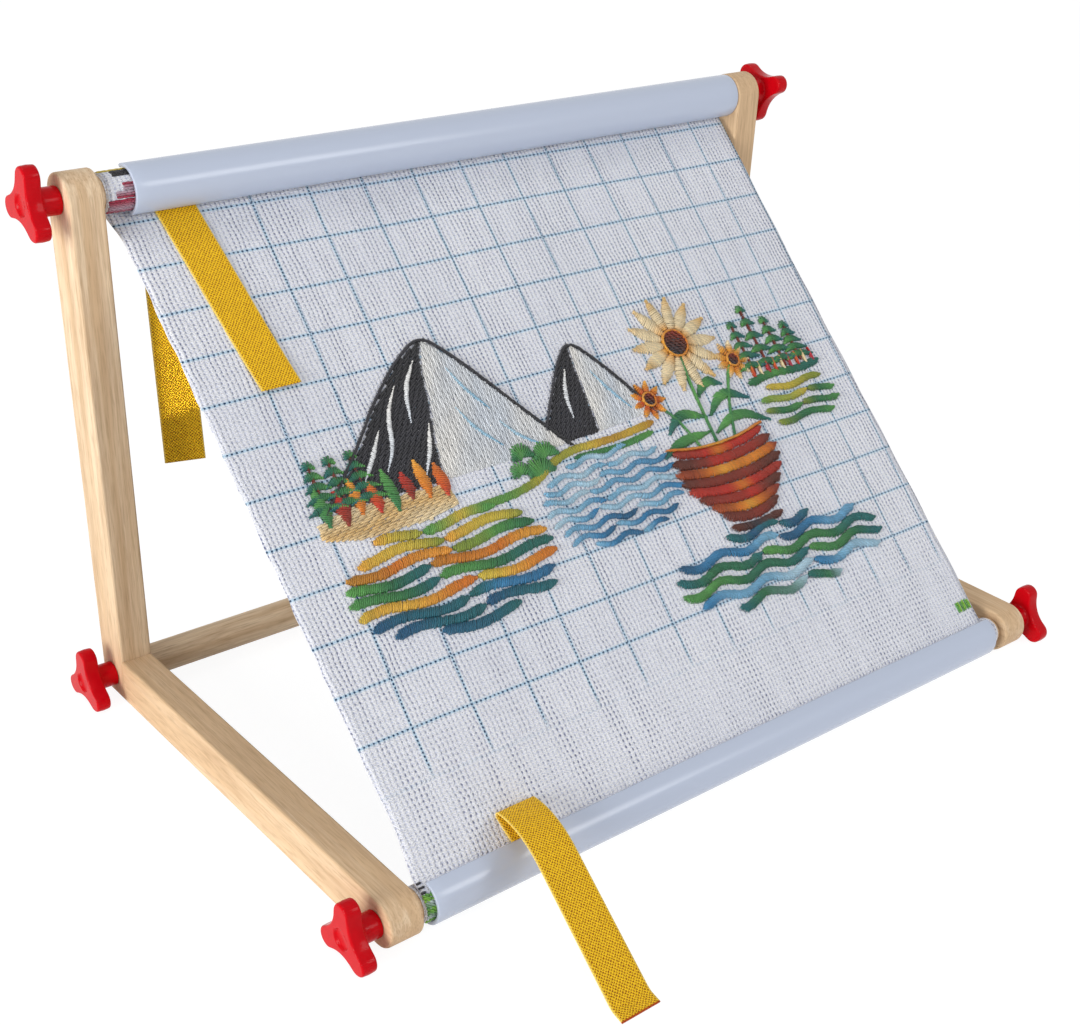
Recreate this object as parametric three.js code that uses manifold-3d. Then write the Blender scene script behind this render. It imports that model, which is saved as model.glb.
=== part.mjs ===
// Table-top scroll frame for cross stitch: two L-shaped wooden sides, a back crossbar, two
// rollers that carry the cloth, two clip-on half-pipe clips with pull straps, and six
// three-lobe clamping knobs. Millimetres, +Z up, the cloth faces -Y and the front is -Y.
import * as THREE from 'three';
import { mergeVertices } from 'three/addons/utils/BufferGeometryUtils.js';
import Module from 'manifold-3d';

const wasm = await Module();
wasm.setup();

// Sides
const overallWidth = 512;
const baseLength = 316;
const sideHeight = 320;
const barWidth = 20;
const barDepth = 28;
const easedEdge = 1.2;
const glueLine = 0.2;

// Dowel pins that hold each base arm on its upright
const pinRadius = 3;
const pinLength = 36;
const pinHeightShares = [0.22, 0.78];

// Bars that span the sides
const crossbarRadius = 10;
const rollerRadius = 9;
const barEndChamfer = 0.8;

// Cloth
const woundCloth = 1.1;
const clothSideMargin = 7;
const rollSideMargin = 3;
const clothThickness = 0.8;
const clothLipAngle = 88;

// Clips: two lengths of the same half-pipe
const clipShortfall = 19;
const clipWall = 2.1;
const clipCoverAngle = 190;
const topClipRightGap = 0.4;
const bottomClipInset = 9;
const topClipLowerLipAngle = -77;
const bottomClipUpperLipAngle = 76;

// Pull straps
const strapWidth = 25;
const strapThickness = 0.6;
const topStrapFrontInset = 57.8; // inner face of the left arm to the strap's middle, at its front end
const topStrapRollInset = 41;
const topStrapTailInset = 46;
const topStrapBackTail = 170;
const topStrapFrontTail = 118;
const topStrapLeaveAngle = -83;
const bottomStrapInset = 82.5;
const bottomStrapDrift = -28;
const bottomStrapHiddenAngle = -95;
const bottomStrapRise = 13.5;
const bottomStrapFoldRadius = 3.2;
const bottomStrapLiftAngle = 14; // above level, where the strap leaves its fold
const bottomStrapArchRadius = 60;
const bottomStrapSlopeAngle = 26; // below level, where it runs down to the table
const bottomStrapSettleRadius = 12;
const bottomStrapReach = 115.096; // from the bottom roller's axis to the cut end

// Knobs
const knobRadius = 21.5;
const knobTipRadius = 6;
const knobWaistRadius = 10.5;
const knobSlab = 9;
const knobEdge = 1.4;
const knobNeckLength = 11.5;
const knobNeckRadius = 7.6;
const knobNeckFlare = 0.6;
const knobRecessRadius = 6.2;
const knobRecessDepth = 1.6;

// Studs, threaded inserts and knob bushes
const studRadius = 3;
const insertRadius = 4;
const insertLength = 13;
const bushRadius = 4.5;
const bushLength = 14;

// Clearances
const seatGap = 0.3;
const softGap = 0.3;
const holeClearance = 0.3;
const overrun = 5;

// Facet counts
const ROUND = 40;
const SMALL_ROUND = 20;

const halfTurnAngle = 180;

// Derived places. A point in the side view is a Vector2 of (y, z).
const innerHalf = overallWidth / 2 - barWidth;
const clothWidth = 2 * (innerHalf - clothSideMargin);
const clipLength = 2 * innerHalf - clipShortfall;
const topClipInset = clipShortfall - topClipRightGap;
const halfDepth = barDepth / 2;
const topAxis = new THREE.Vector2(-halfDepth, sideHeight - halfDepth);
const frontAxis = new THREE.Vector2(-baseLength + halfDepth, halfDepth);
const backAxis = new THREE.Vector2(-halfDepth, halfDepth);
const rollBore = rollerRadius + seatGap;
const rollRadius = rollBore + woundCloth;
const strapUnder = rollRadius + softGap;
const strapMiddle = strapUnder + strapThickness / 2;
const clipBore = strapUnder + strapThickness + softGap;
const clipRadius = clipBore + clipWall;
const holeRadius = studRadius + holeClearance;
const boreDepth = bushLength + seatGap;
const studLength = insertLength + barWidth + seatGap + bushLength;

const wood = new THREE.MeshStandardMaterial({ color: 0xd9b585, roughness: 0.6, metalness: 0 });
const darkWood = new THREE.MeshStandardMaterial({ color: 0xc79c68, roughness: 0.6, metalness: 0 });
const redPlastic = new THREE.MeshStandardMaterial({ color: 0xc4101d, roughness: 0.25, metalness: 0 });
const whitePlastic = new THREE.MeshStandardMaterial({ color: 0xe8ebf2, roughness: 0.2, metalness: 0 });
const steel = new THREE.MeshStandardMaterial({ color: 0xa9abae, roughness: 0.35, metalness: 1 });
const brass = new THREE.MeshStandardMaterial({ color: 0xb58f45, roughness: 0.35, metalness: 1 });
const cloth = new THREE.MeshStandardMaterial({ color: 0xeeeef2, roughness: 0.95, metalness: 0 });
const webbing = new THREE.MeshStandardMaterial({ color: 0xf0ae12, roughness: 0.9, metalness: 0 });

// Places geometry drawn in a side view (x = y, y = z, depth = x) into the object's axes.
const sideView = new THREE.Matrix4().makeBasis(
  new THREE.Vector3(0, 1, 0), new THREE.Vector3(0, 0, 1), new THREE.Vector3(1, 0, 0));
// Places geometry revolved about Y so that its axis runs along +X.
const alongX = new THREE.Matrix4().makeRotationZ(-Math.PI / 2);

const frame = new THREE.Group();

function add(name, geometry, material, parent = frame) {
  const mesh = new THREE.Mesh(geometry, material.clone());
  mesh.name = name;
  parent.add(mesh);
  return mesh;
}

// Turns a closed geometry into a solid for cutting and joining.
function toSolid(geometry) {
  const bare = geometry.index ? geometry.toNonIndexed() : geometry.clone();
  bare.deleteAttribute('normal');
  bare.deleteAttribute('uv');
  const merged = mergeVertices(bare, easedEdge * 1e-4);
  return new wasm.Manifold(new wasm.Mesh({
    numProp: 3,
    vertProperties: new Float32Array(merged.attributes.position.array),
    triVerts: new Uint32Array(merged.index.array),
  }));
}

function toGeometry(solid) {
  const mesh = solid.getMesh();
  const geometry = new THREE.BufferGeometry();
  geometry.setAttribute('position', new THREE.BufferAttribute(new Float32Array(mesh.vertProperties), 3));
  geometry.setIndex(new THREE.BufferAttribute(new Uint32Array(mesh.triVerts), 1));
  geometry.computeVertexNormals();
  return geometry;
}

// A point at an angle round an axis, counted from straight forward (-Y) towards up.
function polar(centre, radius, degrees) {
  const angle = THREE.MathUtils.degToRad(degrees);
  return new THREE.Vector2(centre.x - radius * Math.cos(angle), centre.y + radius * Math.sin(angle));
}

function arc(centre, radius, from, to, steps) {
  const points = [];
  for (let i = 0; i <= steps; i += 1) {
    points.push(polar(centre, radius, from + (to - from) * (i / steps)));
  }
  return points;
}

// A solid of revolution about an X axis through a side-view point.
function turned(profile, centre, x = 0, facets = ROUND) {
  const geometry = new THREE.LatheGeometry(profile.map(([r, along]) => new THREE.Vector2(r, along)), facets);
  geometry.applyMatrix4(alongX);
  geometry.translate(x, centre.x, centre.y);
  return geometry;
}

function pipe(outer, bore, from, to, centre, facets = ROUND) {
  return turned([[bore, from], [outer, from], [outer, to], [bore, to], [bore, from]], centre, 0, facets);
}

function crossHole(centre) {
  const reach = barWidth / 2 + overrun;
  return toSolid(turned([[0, -reach], [holeRadius, -reach], [holeRadius, reach], [0, reach]],
    centre, 0, SMALL_ROUND));
}

// Pin holes run along Y, half in the upright and half in the base arm.
function pinPlaces() {
  return pinHeightShares.map((share) => new THREE.Vector2(-barDepth, barDepth * share));
}

function pinRod(place, radius, length) {
  const rod = new THREE.CylinderGeometry(radius, radius, length, SMALL_ROUND);
  rod.translate(0, place.x, place.y);
  return rod;
}

// A bar of the side, drawn as its outline in the side view, with eased edges.
function easedBar(outline) {
  const geometry = new THREE.ExtrudeGeometry(new THREE.Shape(outline), {
    depth: barWidth - 2 * easedEdge,
    bevelEnabled: true,
    bevelThickness: easedEdge,
    bevelSize: easedEdge,
    bevelOffset: -easedEdge,
    bevelSegments: 2,
  });
  geometry.translate(0, 0, easedEdge - barWidth / 2);
  geometry.applyMatrix4(sideView);
  return toSolid(geometry);
}

function uprightSolid() {
  const top = arc(topAxis, halfDepth, halfTurnAngle, 0, SMALL_ROUND);
  const outline = [new THREE.Vector2(0, 0), ...top, new THREE.Vector2(-barDepth, 0)];
  let solid = easedBar(outline).subtract(crossHole(topAxis)).subtract(crossHole(backAxis));
  for (const place of pinPlaces()) {
    solid = solid.subtract(toSolid(pinRod(place, pinRadius + holeClearance, pinLength + 2 * seatGap)));
  }
  return solid;
}

function baseArmSolid() {
  const end = arc(frontAxis, halfDepth, halfTurnAngle / 2, -halfTurnAngle / 2, SMALL_ROUND);
  const past = -barDepth + overrun;
  const outline = [new THREE.Vector2(past, barDepth), ...end, new THREE.Vector2(past, 0)];
  const trimmed = new THREE.BoxGeometry(barWidth + 2 * overrun, 2 * overrun, barDepth + 2 * overrun);
  trimmed.translate(0, -barDepth - glueLine + overrun, halfDepth);
  let solid = easedBar(outline.reverse()).subtract(toSolid(trimmed)).subtract(crossHole(frontAxis));
  for (const place of pinPlaces()) {
    solid = solid.subtract(toSolid(pinRod(place, pinRadius + holeClearance, pinLength + 2 * seatGap)));
  }
  return solid;
}

function addSides() {
  const upright = toGeometry(uprightSolid());
  const arm = toGeometry(baseArmSolid());
  for (const [side, sign] of [['left', -1], ['right', 1]]) {
    const x = sign * (overallWidth - barWidth) / 2;
    add(`${side}_upright`, upright.clone().translate(x, 0, 0), wood);
    add(`${side}_base_arm`, arm.clone().translate(x, 0, 0), wood);
    pinPlaces().forEach((place, i) => {
      const level = i === 0 ? 'lower' : 'upper';
      add(`${side}_${level}_dowel_pin`, pinRod(place, pinRadius, pinLength).translate(x, 0, 0), darkWood);
    });
  }
}

// A turned bar between the sides, with a blind socket in each end for a threaded insert.
function spanBar(radius, centre) {
  const end = innerHalf - seatGap;
  const socket = insertRadius + holeClearance;
  const bottom = end - insertLength - seatGap;
  return turned([
    [0, -bottom], [socket, -bottom], [socket, -end], [radius - barEndChamfer, -end],
    [radius, -end + barEndChamfer], [radius, end - barEndChamfer], [radius - barEndChamfer, end],
    [socket, end], [socket, bottom], [0, bottom],
  ], centre);
}

function addInsertsAndStuds(place, centre) {
  const end = innerHalf - seatGap;
  for (const [side, sign] of [['left', -1], ['right', 1]]) {
    const outer = sign * end;
    const inner = sign * (end - insertLength);
    add(`${place}_${side}_insert`,
      pipe(insertRadius, holeRadius, Math.min(inner, outer), Math.max(inner, outer), centre, SMALL_ROUND), brass);
    const stud = turned([[0, 0], [studRadius, 0], [studRadius, studLength], [0, studLength]],
      centre, sign > 0 ? inner : -end + insertLength - studLength, SMALL_ROUND);
    add(`${place}_${side}_stud`, stud, steel);
  }
}

// Bars, their end hardware and the cloth wound on the two rollers.
function addBars() {
  add('back_crossbar', spanBar(crossbarRadius, backAxis), wood);
  add('top_roller', spanBar(rollerRadius, topAxis), wood);
  add('bottom_roller', spanBar(rollerRadius, frontAxis), wood);
  const half = innerHalf - rollSideMargin;
  add('top_cloth_roll', pipe(rollRadius, rollBore, -half, half, topAxis), cloth);
  add('bottom_cloth_roll', pipe(rollRadius, rollBore, -half, half, frontAxis), cloth);
  addInsertsAndStuds('back', backAxis);
  addInsertsAndStuds('top', topAxis);
  addInsertsAndStuds('bottom', frontAxis);
}

// The stretched cloth leaves the top roll behind and below, and comes down on the bottom roll
// from above, just behind the bottom clip's upper lip.
const clothMiddle = rollRadius + softGap + clothThickness / 2;
const clothFoot = polar(frontAxis, clothMiddle, clothLipAngle);
const toFoot = clothFoot.clone().sub(topAxis);
const tangentAngle = toFoot.angle() + Math.acos(clothMiddle / toFoot.length());
const clothHead = topAxis.clone().add(
  new THREE.Vector2(Math.cos(tangentAngle), Math.sin(tangentAngle)).multiplyScalar(clothMiddle));
const clothDown = clothFoot.clone().sub(clothHead).normalize();
const clothNormal = new THREE.Vector2(clothDown.y, -clothDown.x);

// A flat strip of soft material swept along a side-view path. middleX gives the x of its centre
// line from the length run so far and the whole length.
function ribbon(path, width, thickness, middleX) {
  const lengths = [0];
  for (let i = 1; i < path.length; i += 1) {
    lengths.push(lengths[i - 1] + path[i].distanceTo(path[i - 1]));
  }
  const positions = [];
  path.forEach((point, i) => {
    const before = path[Math.max(i - 1, 0)];
    const after = path[Math.min(i + 1, path.length - 1)];
    const along = after.clone().sub(before).normalize();
    const normal = new THREE.Vector2(-along.y, along.x).multiplyScalar(thickness / 2);
    const x = middleX(lengths[i], lengths[lengths.length - 1]);
    for (const [side, face] of [[-1, -1], [1, -1], [1, 1], [-1, 1]]) {
      positions.push(x + side * width / 2, point.x + face * normal.x, point.y + face * normal.y);
    }
  });
  const index = [0, 1, 2, 0, 2, 3];
  for (let i = 0; i < path.length - 1; i += 1) {
    for (let k = 0; k < 4; k += 1) {
      const a = 4 * i + k;
      const b = 4 * i + ((k + 1) % 4);
      index.push(a, b + 4, b, a, a + 4, b + 4);
    }
  }
  const last = 4 * (path.length - 1);
  index.push(last, last + 2, last + 1, last, last + 3, last + 2);
  const geometry = new THREE.BufferGeometry();
  geometry.setAttribute('position', new THREE.Float32BufferAttribute(positions, 3));
  geometry.setIndex(index);
  geometry.computeVertexNormals();
  return geometry;
}

function addCloth() {
  add('cloth_panel', ribbon([clothHead, clothFoot], clothWidth, clothThickness, () => 0), cloth);
}

// The half-pipe's section: an open ring with rounded lips.
function clipSection(centre, from, to) {
  const middle = (clipBore + clipRadius) / 2;
  const lip = clipWall / 2;
  const outer = arc(centre, clipRadius, from, to, ROUND);
  const inner = arc(centre, clipBore, to, from, ROUND);
  const lipSteps = SMALL_ROUND / 4;
  const farLip = arc(polar(centre, middle, to), lip, to, to + halfTurnAngle, lipSteps);
  const nearStart = from + halfTurnAngle;
  const nearLip = arc(polar(centre, middle, from), lip, nearStart, nearStart + halfTurnAngle, lipSteps);
  return new THREE.Shape([...outer, ...farLip.slice(1, -1), ...inner, ...nearLip.slice(1, -1)]);
}

function addClips() {
  const places = [
    ['top_clip', topAxis, topClipLowerLipAngle, topClipInset],
    ['bottom_clip', frontAxis, bottomClipUpperLipAngle - clipCoverAngle, bottomClipInset],
  ];
  for (const [name, centre, from, inset] of places) {
    const section = clipSection(centre, from, from + clipCoverAngle);
    const geometry = new THREE.ExtrudeGeometry(section, { depth: clipLength, bevelEnabled: false });
    geometry.translate(0, 0, inset - innerHalf);
    geometry.applyMatrix4(sideView);
    add(name, geometry, whitePlastic);
  }
}

// Bends a path round a circle that is tangent to a start direction and to an end direction.
function bend(start, heading, turn, radius, steps) {
  const side = Math.sign(turn);
  const centre = start.clone().add(new THREE.Vector2(-heading.y, heading.x).multiplyScalar(side * radius));
  const spoke = start.clone().sub(centre);
  const points = [];
  for (let i = 1; i <= steps; i += 1) {
    points.push(spoke.clone().rotateAround(new THREE.Vector2(0, 0), turn * (i / steps)).add(centre));
  }
  return points;
}

// The height of a point over the stretched cloth's middle.
function heightOverCloth(point) {
  return point.clone().sub(clothHead).dot(clothNormal);
}

// The top strap hangs behind the top roll, goes over it under the clip, turns round the clip's
// lower lip and lies down the stretched cloth.
function topStrapPath() {
  const lying = (clothThickness + strapThickness) / 2 + softGap;
  const over = arc(topAxis, strapMiddle, halfTurnAngle, topStrapLeaveAngle, ROUND);
  const leave = over[over.length - 1];
  const tail = new THREE.Vector2(over[0].x, topAxis.y - topStrapBackTail);
  const angle = THREE.MathUtils.degToRad(topStrapLeaveAngle);
  const heading = new THREE.Vector2(-Math.sin(angle), -Math.cos(angle));
  const right = new THREE.Vector2(heading.y, -heading.x);
  const radius = (heightOverCloth(leave) - lying) / (1 - right.dot(clothNormal));
  const turn = wrapTurn(clothDown.angle() - heading.angle());
  const round = bend(leave, heading, turn, radius, SMALL_ROUND / 2);
  const down = round[round.length - 1].clone().addScaledVector(clothDown, topStrapFrontTail);
  return [tail, ...over, ...round, down];
}

// An angle brought between minus half a turn and half a turn.
function wrapTurn(angle) {
  return Math.atan2(Math.sin(angle), Math.cos(angle));
}

// The bottom strap starts under the clip, comes out over its upper lip, folds back at once,
// arches over the clip and slopes down until its end lies on the table.
function bottomStrapPath() {
  const lying = (clothThickness + strapThickness) / 2 + softGap;
  const over = strapThickness / 2 + softGap;
  const hidden = arc(frontAxis, strapMiddle, bottomStrapHiddenAngle, bottomClipUpperLipAngle, ROUND / 2);
  const up = clothDown.clone().negate();
  const rise = clothFoot.clone().addScaledVector(clothNormal, lying);
  const riseEnd = rise.clone().addScaledVector(up, bottomStrapRise);
  const lift = THREE.MathUtils.degToRad(bottomStrapLiftAngle);
  const slope = THREE.MathUtils.degToRad(bottomStrapSlopeAngle);
  const fold = bend(riseEnd, up, Math.PI - lift - up.angle(), bottomStrapFoldRadius, SMALL_ROUND / 2);
  const lifted = new THREE.Vector2(-Math.cos(lift), Math.sin(lift));
  const arch = bend(fold[fold.length - 1], lifted, lift + slope, bottomStrapArchRadius, SMALL_ROUND / 2);
  const sloping = new THREE.Vector2(-Math.cos(slope), -Math.sin(slope));
  const settle = bottomStrapSettleRadius * (1 - Math.cos(slope));
  const archEnd = arch[arch.length - 1];
  const slopeLength = (archEnd.y - settle - over) / Math.sin(slope);
  const settleStart = archEnd.clone().addScaledVector(sloping, slopeLength);
  const landing = bend(settleStart, sloping, -slope, bottomStrapSettleRadius, SMALL_ROUND / 4);
  const end = new THREE.Vector2(frontAxis.x - bottomStrapReach, over);
  return [...hidden, rise, riseEnd, ...fold, ...arch, settleStart, ...landing, end];
}

// The top strap runs straight from its front end to the roll, and its tail hangs at its own slant.
function topStrapX(run, total) {
  const { lerp } = THREE.MathUtils;
  const front = total - topStrapBackTail;
  const inset = run < front
    ? lerp(topStrapFrontInset, topStrapRollInset, run / front)
    : lerp(topStrapRollInset, topStrapTailInset, (run - front) / topStrapBackTail);
  return inset - innerHalf;
}

function addStraps() {
  add('top_strap', ribbon(topStrapPath().reverse(), strapWidth, strapThickness, topStrapX), webbing);
  const bottomX = (run, total) => -innerHalf + bottomStrapInset + bottomStrapDrift * (run / total);
  add('bottom_strap', ribbon(bottomStrapPath(), strapWidth, strapThickness, bottomX), webbing);
}

// Outline of the three-lobe grip: round tips joined by hollow flanks that touch them smoothly.
function lobeOutline(lobeAngle) {
  const reach = knobRadius - knobTipRadius;
  const waist = knobWaistRadius;
  const flank = (reach ** 2 + waist ** 2 - reach * waist - knobTipRadius ** 2)
    / (2 * knobTipRadius - 2 * waist + reach);
  const flankReach = waist + flank;
  const touch = Math.atan2(flankReach * Math.sin(Math.PI / 3), flankReach * Math.cos(Math.PI / 3) - reach);
  const outline = [];
  for (let lobe = 0; lobe < 3; lobe += 1) {
    const axis = THREE.MathUtils.degToRad(lobeAngle) + lobe * 2 * Math.PI / 3;
    const tip = new THREE.Vector2(reach * Math.cos(axis), reach * Math.sin(axis));
    for (let i = 0; i <= SMALL_ROUND / 2; i += 1) {
      const angle = axis - touch + 2 * touch * (i / (SMALL_ROUND / 2));
      outline.push(new THREE.Vector2(Math.cos(angle), Math.sin(angle)).multiplyScalar(knobTipRadius).add(tip));
    }
    const hollowAxis = axis + Math.PI / 3;
    const hollow = new THREE.Vector2(Math.cos(hollowAxis), Math.sin(hollowAxis)).multiplyScalar(flankReach);
    const half = touch - Math.PI / 3;
    const steps = SMALL_ROUND / 4;
    for (let i = 1; i < steps; i += 1) {
      const angle = hollowAxis + Math.PI + half - 2 * half * (i / steps);
      outline.push(new THREE.Vector2(Math.cos(angle), Math.sin(angle)).multiplyScalar(flank).add(hollow));
    }
  }
  return outline;
}

// One knob, drawn with its axis along +Z and its neck's face at zero.
function knobSolid(lobeAngle) {
  const slab = new THREE.ExtrudeGeometry(new THREE.Shape(lobeOutline(lobeAngle)), {
    depth: knobSlab - 2 * knobEdge,
    bevelEnabled: true,
    bevelThickness: knobEdge,
    bevelSize: knobEdge,
    bevelOffset: -knobEdge,
    bevelSegments: 2,
  });
  slab.translate(0, 0, knobNeckLength + knobEdge);
  const neck = lathed([
    [0, 0], [knobNeckRadius, 0], [knobNeckRadius, knobNeckLength / 2],
    [knobNeckRadius + knobNeckFlare, knobNeckLength], [knobNeckRadius, knobNeckLength + knobSlab / 2],
    [0, knobNeckLength + knobSlab / 2],
  ]);
  const face = knobNeckLength + knobSlab;
  const recess = lathed([
    [0, face - knobRecessDepth], [knobRecessRadius - knobRecessDepth / 2, face - knobRecessDepth],
    [knobRecessRadius, face + overrun], [0, face + overrun],
  ]);
  const bore = lathed([
    [0, -overrun], [bushRadius + holeClearance, -overrun], [bushRadius + holeClearance, boreDepth],
    [0, boreDepth],
  ]);
  return toSolid(slab).add(toSolid(neck)).subtract(toSolid(recess)).subtract(toSolid(bore));
}

function lathed(profile) {
  const geometry = new THREE.LatheGeometry(profile.map(([r, z]) => new THREE.Vector2(r, z)), SMALL_ROUND);
  geometry.rotateX(Math.PI / 2);
  return geometry;
}

function bushGeometry() {
  return lathed([
    [holeRadius, 0], [bushRadius, 0], [bushRadius, bushLength], [holeRadius, bushLength], [holeRadius, 0],
  ]);
}

// Each knob's bar, side, axis and the way one of its lobes points as it stands clamped.
const knobPlaces = [
  ['top', 'left', topAxis, 75],
  ['top', 'right', topAxis, 142],
  ['back', 'left', backAxis, 90],
  ['back', 'right', backAxis, 90],
  ['bottom', 'left', frontAxis, 90],
  ['bottom', 'right', frontAxis, 90],
];

function addKnobs() {
  for (const [place, side, centre, lobeAngle] of knobPlaces) {
    const sign = side === 'left' ? -1 : 1;
    const group = new THREE.Group();
    // The knob's own +Z points away from the frame, and its +X is kept level.
    const outward = new THREE.Vector3(sign, 0, 0);
    const level = new THREE.Vector3(0, -1, 0);
    group.matrixAutoUpdate = false;
    group.matrix.makeBasis(level, outward.clone().cross(level), outward);
    group.matrix.setPosition(sign * (overallWidth / 2 + seatGap), centre.x, centre.y);
    frame.add(group);
    add(`${place}_${side}_knob`, toGeometry(knobSolid(-sign * lobeAngle)), redPlastic, group);
    add(`${place}_${side}_knob_bush`, bushGeometry(), brass, group);
  }
}

addSides();
addBars();
addCloth();
addClips();
addStraps();
addKnobs();

// The origin is the middle of the object's footprint, on the surface that it stands on.
frame.updateMatrixWorld(true);
const box = new THREE.Box3().setFromObject(frame);
const middle = box.getCenter(new THREE.Vector3());
const placed = new THREE.Group();
frame.position.set(-middle.x, -middle.y, -box.min.z);
placed.add(frame);

export default placed;
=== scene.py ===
import math

import bmesh
import bpy
import numpy as np
from mathutils import Matrix, Vector


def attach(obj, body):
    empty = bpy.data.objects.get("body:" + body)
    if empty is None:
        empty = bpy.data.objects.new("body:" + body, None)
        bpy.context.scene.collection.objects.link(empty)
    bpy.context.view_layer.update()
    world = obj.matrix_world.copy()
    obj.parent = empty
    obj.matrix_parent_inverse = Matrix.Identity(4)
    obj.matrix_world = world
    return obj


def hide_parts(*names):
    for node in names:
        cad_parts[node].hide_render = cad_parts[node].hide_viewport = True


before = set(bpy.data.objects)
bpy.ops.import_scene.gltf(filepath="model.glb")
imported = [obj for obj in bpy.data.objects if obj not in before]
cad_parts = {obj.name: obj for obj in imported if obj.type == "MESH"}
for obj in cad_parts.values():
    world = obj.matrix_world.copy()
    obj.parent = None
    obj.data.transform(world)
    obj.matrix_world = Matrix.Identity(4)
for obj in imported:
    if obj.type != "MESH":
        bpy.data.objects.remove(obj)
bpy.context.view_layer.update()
print("frame loaded")

mm = 0.001

# Where the frame's main axes lie, in millimetres. A side-view point is (y, z).
layout = {
    "topAxis": (191.066, 306.0),
    "frontAxis": (-96.934, 14.0),
    "backAxis": (191.066, 14.0),
    "outerFace": 256.0,   # from the middle to an upright's outer face
}


def linearColour(hexText):
    # each sRGB channel c becomes c/12.92 below 0.04045, else ((c + 0.055)/1.055) to the 2.4
    values = [int(hexText[i:i + 2], 16) / 255 for i in (1, 3, 5)]
    linear = [c / 12.92 if c <= 0.04045 else ((c + 0.055) / 1.055) ** 2.4 for c in values]
    return (*linear, 1.0)


def setInputs(node, inputs):
    # gives inputs, by name or number in a dictionary or in their order, a value, a hex colour, a
    # socket, or another node, whose first live output is then linked
    for key, value in inputs.items() if isinstance(inputs, dict) else enumerate(inputs):
        if isinstance(value, bpy.types.Node):
            value = next(output for output in value.outputs if output.enabled)
        if isinstance(value, bpy.types.NodeSocket):
            node.id_data.links.new(value, node.inputs[key])
        else:
            node.inputs[key].default_value = linearColour(value) if isinstance(value, str) else value


# which of a node's properties its mode sets
modes = {
    "Math": "operation", "VectorMath": "operation", "Mix": "data_type",
    "MapRange": "interpolation_type",   # its inputs: value, from min, from max, to min, to max
}


def addNode(tree, kind, inputs=None, mode=None, **settings):
    # makes one node, sets its mode and its other properties, then fills its inputs
    node = tree.nodes.new("ShaderNode" + kind)
    if mode:
        setattr(node, modes[kind], mode)
    for key, value in settings.items():
        setattr(node, key, value)
    setInputs(node, inputs or {})
    return node


def newMaterial(name):
    # an empty material, with its node tree and its surface shader
    material = bpy.data.materials.new(name)
    material.use_nodes = True
    tree = material.node_tree
    return material, tree, tree.nodes["Principled BSDF"]


def gridFaces(rows, columns):
    # one quad for each cell of a rows by columns grid of vertices whose last column joins its
    # first, as an index array
    r, c = np.meshgrid(np.arange(rows - 1), np.arange(columns), indexing="ij")
    here, there, c2 = r * columns, (r + 1) * columns, (c + 1) % columns
    return np.stack([here + c, here + c2, there + c2, there + c], -1).reshape(-1, 4)


def buildMesh(name, points, faces, uvs=None, colours=None):
    # vertices and faces become a smooth mesh, doubles are merged and normals turned outwards
    mesh = bpy.data.meshes.new(name)
    mesh.from_pydata(np.asarray(points, float).reshape(-1, 3).tolist(), [], [list(f) for f in faces])
    if colours is not None:
        layer = mesh.color_attributes.new("thread", "FLOAT_COLOR", "POINT")
        rgba = np.column_stack([np.asarray(colours, float).reshape(-1, 3), np.ones(len(mesh.vertices))])
        layer.data.foreach_set("color", rgba.ravel())
    for uvName, values in (uvs or {}).items():
        layer = mesh.uv_layers.new(name=uvName)
        index = np.empty(len(mesh.loops), np.int32)
        mesh.loops.foreach_get("vertex_index", index)
        layer.data.foreach_set("uv", np.asarray(values, float).reshape(-1, 2)[index].ravel())
    merge = 1e-7   # metres
    work = bmesh.new()
    work.from_mesh(mesh)
    bmesh.ops.remove_doubles(work, verts=work.verts, dist=merge)
    bmesh.ops.dissolve_degenerate(work, edges=work.edges, dist=merge)
    bmesh.ops.recalc_face_normals(work, faces=work.faces)
    work.to_mesh(mesh)
    work.free()
    mesh.polygons.foreach_set("use_smooth", [True] * len(mesh.polygons))
    mesh.update()
    return mesh


def place(name, mesh, material, body, slot, *replaced):
    # puts a mesh in the scene as one visible piece that rides on a body, for the CAD solids
    # that it replaces
    piece = bpy.data.objects.new(name, mesh)
    bpy.context.scene.collection.objects.link(piece)
    piece.data.materials.append(material)
    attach(piece, body)
    if replaced:
        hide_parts(*replaced)
    return piece


def polar(centre, radius, degrees):
    # centre plus radius at an angle from straight forward (-Y) towards up, as (y, z) rows
    angle = np.radians(np.asarray(degrees, float))
    radius = np.broadcast_to(np.asarray(radius, float), angle.shape)
    return np.stack([centre[0] - radius * np.cos(angle), centre[1] + radius * np.sin(angle)], -1)


def leftOf(along):
    # each direction turned a quarter to the left
    return np.stack([-along[..., 1], along[..., 0]], -1)


def headings(line, *at):
    # unit directions along a line of points: the slope at each point over its own length
    along = np.gradient(line, *at, axis=0)
    return along / np.linalg.norm(along, axis=1, keepdims=True)


def lengthsAlong(line):
    # how far each point lies along the line: the sum of the steps before it
    return np.concatenate([[0], np.cumsum(np.linalg.norm(np.diff(line, axis=0), axis=1))])


def sheetFaces(rows, around):
    # faces of a closed loop swept along rows; its two ends are filled by quads from the loop's
    # first half across to its second
    i = np.arange(around // 2 - 1)
    cap = np.stack([i, i + 1, around - 2 - i, around - 1 - i], -1)
    faces = gridFaces(rows, around).tolist()
    return faces + cap.tolist() + (cap + (rows - 1) * around).tolist()


# the camera fitted to the photo: its place in mm, its angles in radians, its lens in mm
view = {
    "place": (-584.99, -594.73, 535.41),
    "yaw": 0.6803,
    "pitch": 0.5394,
    "roll": 0.0307,
    "lens": 52.18,
    "shift": (0.0370, 0.1181),
}


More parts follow.
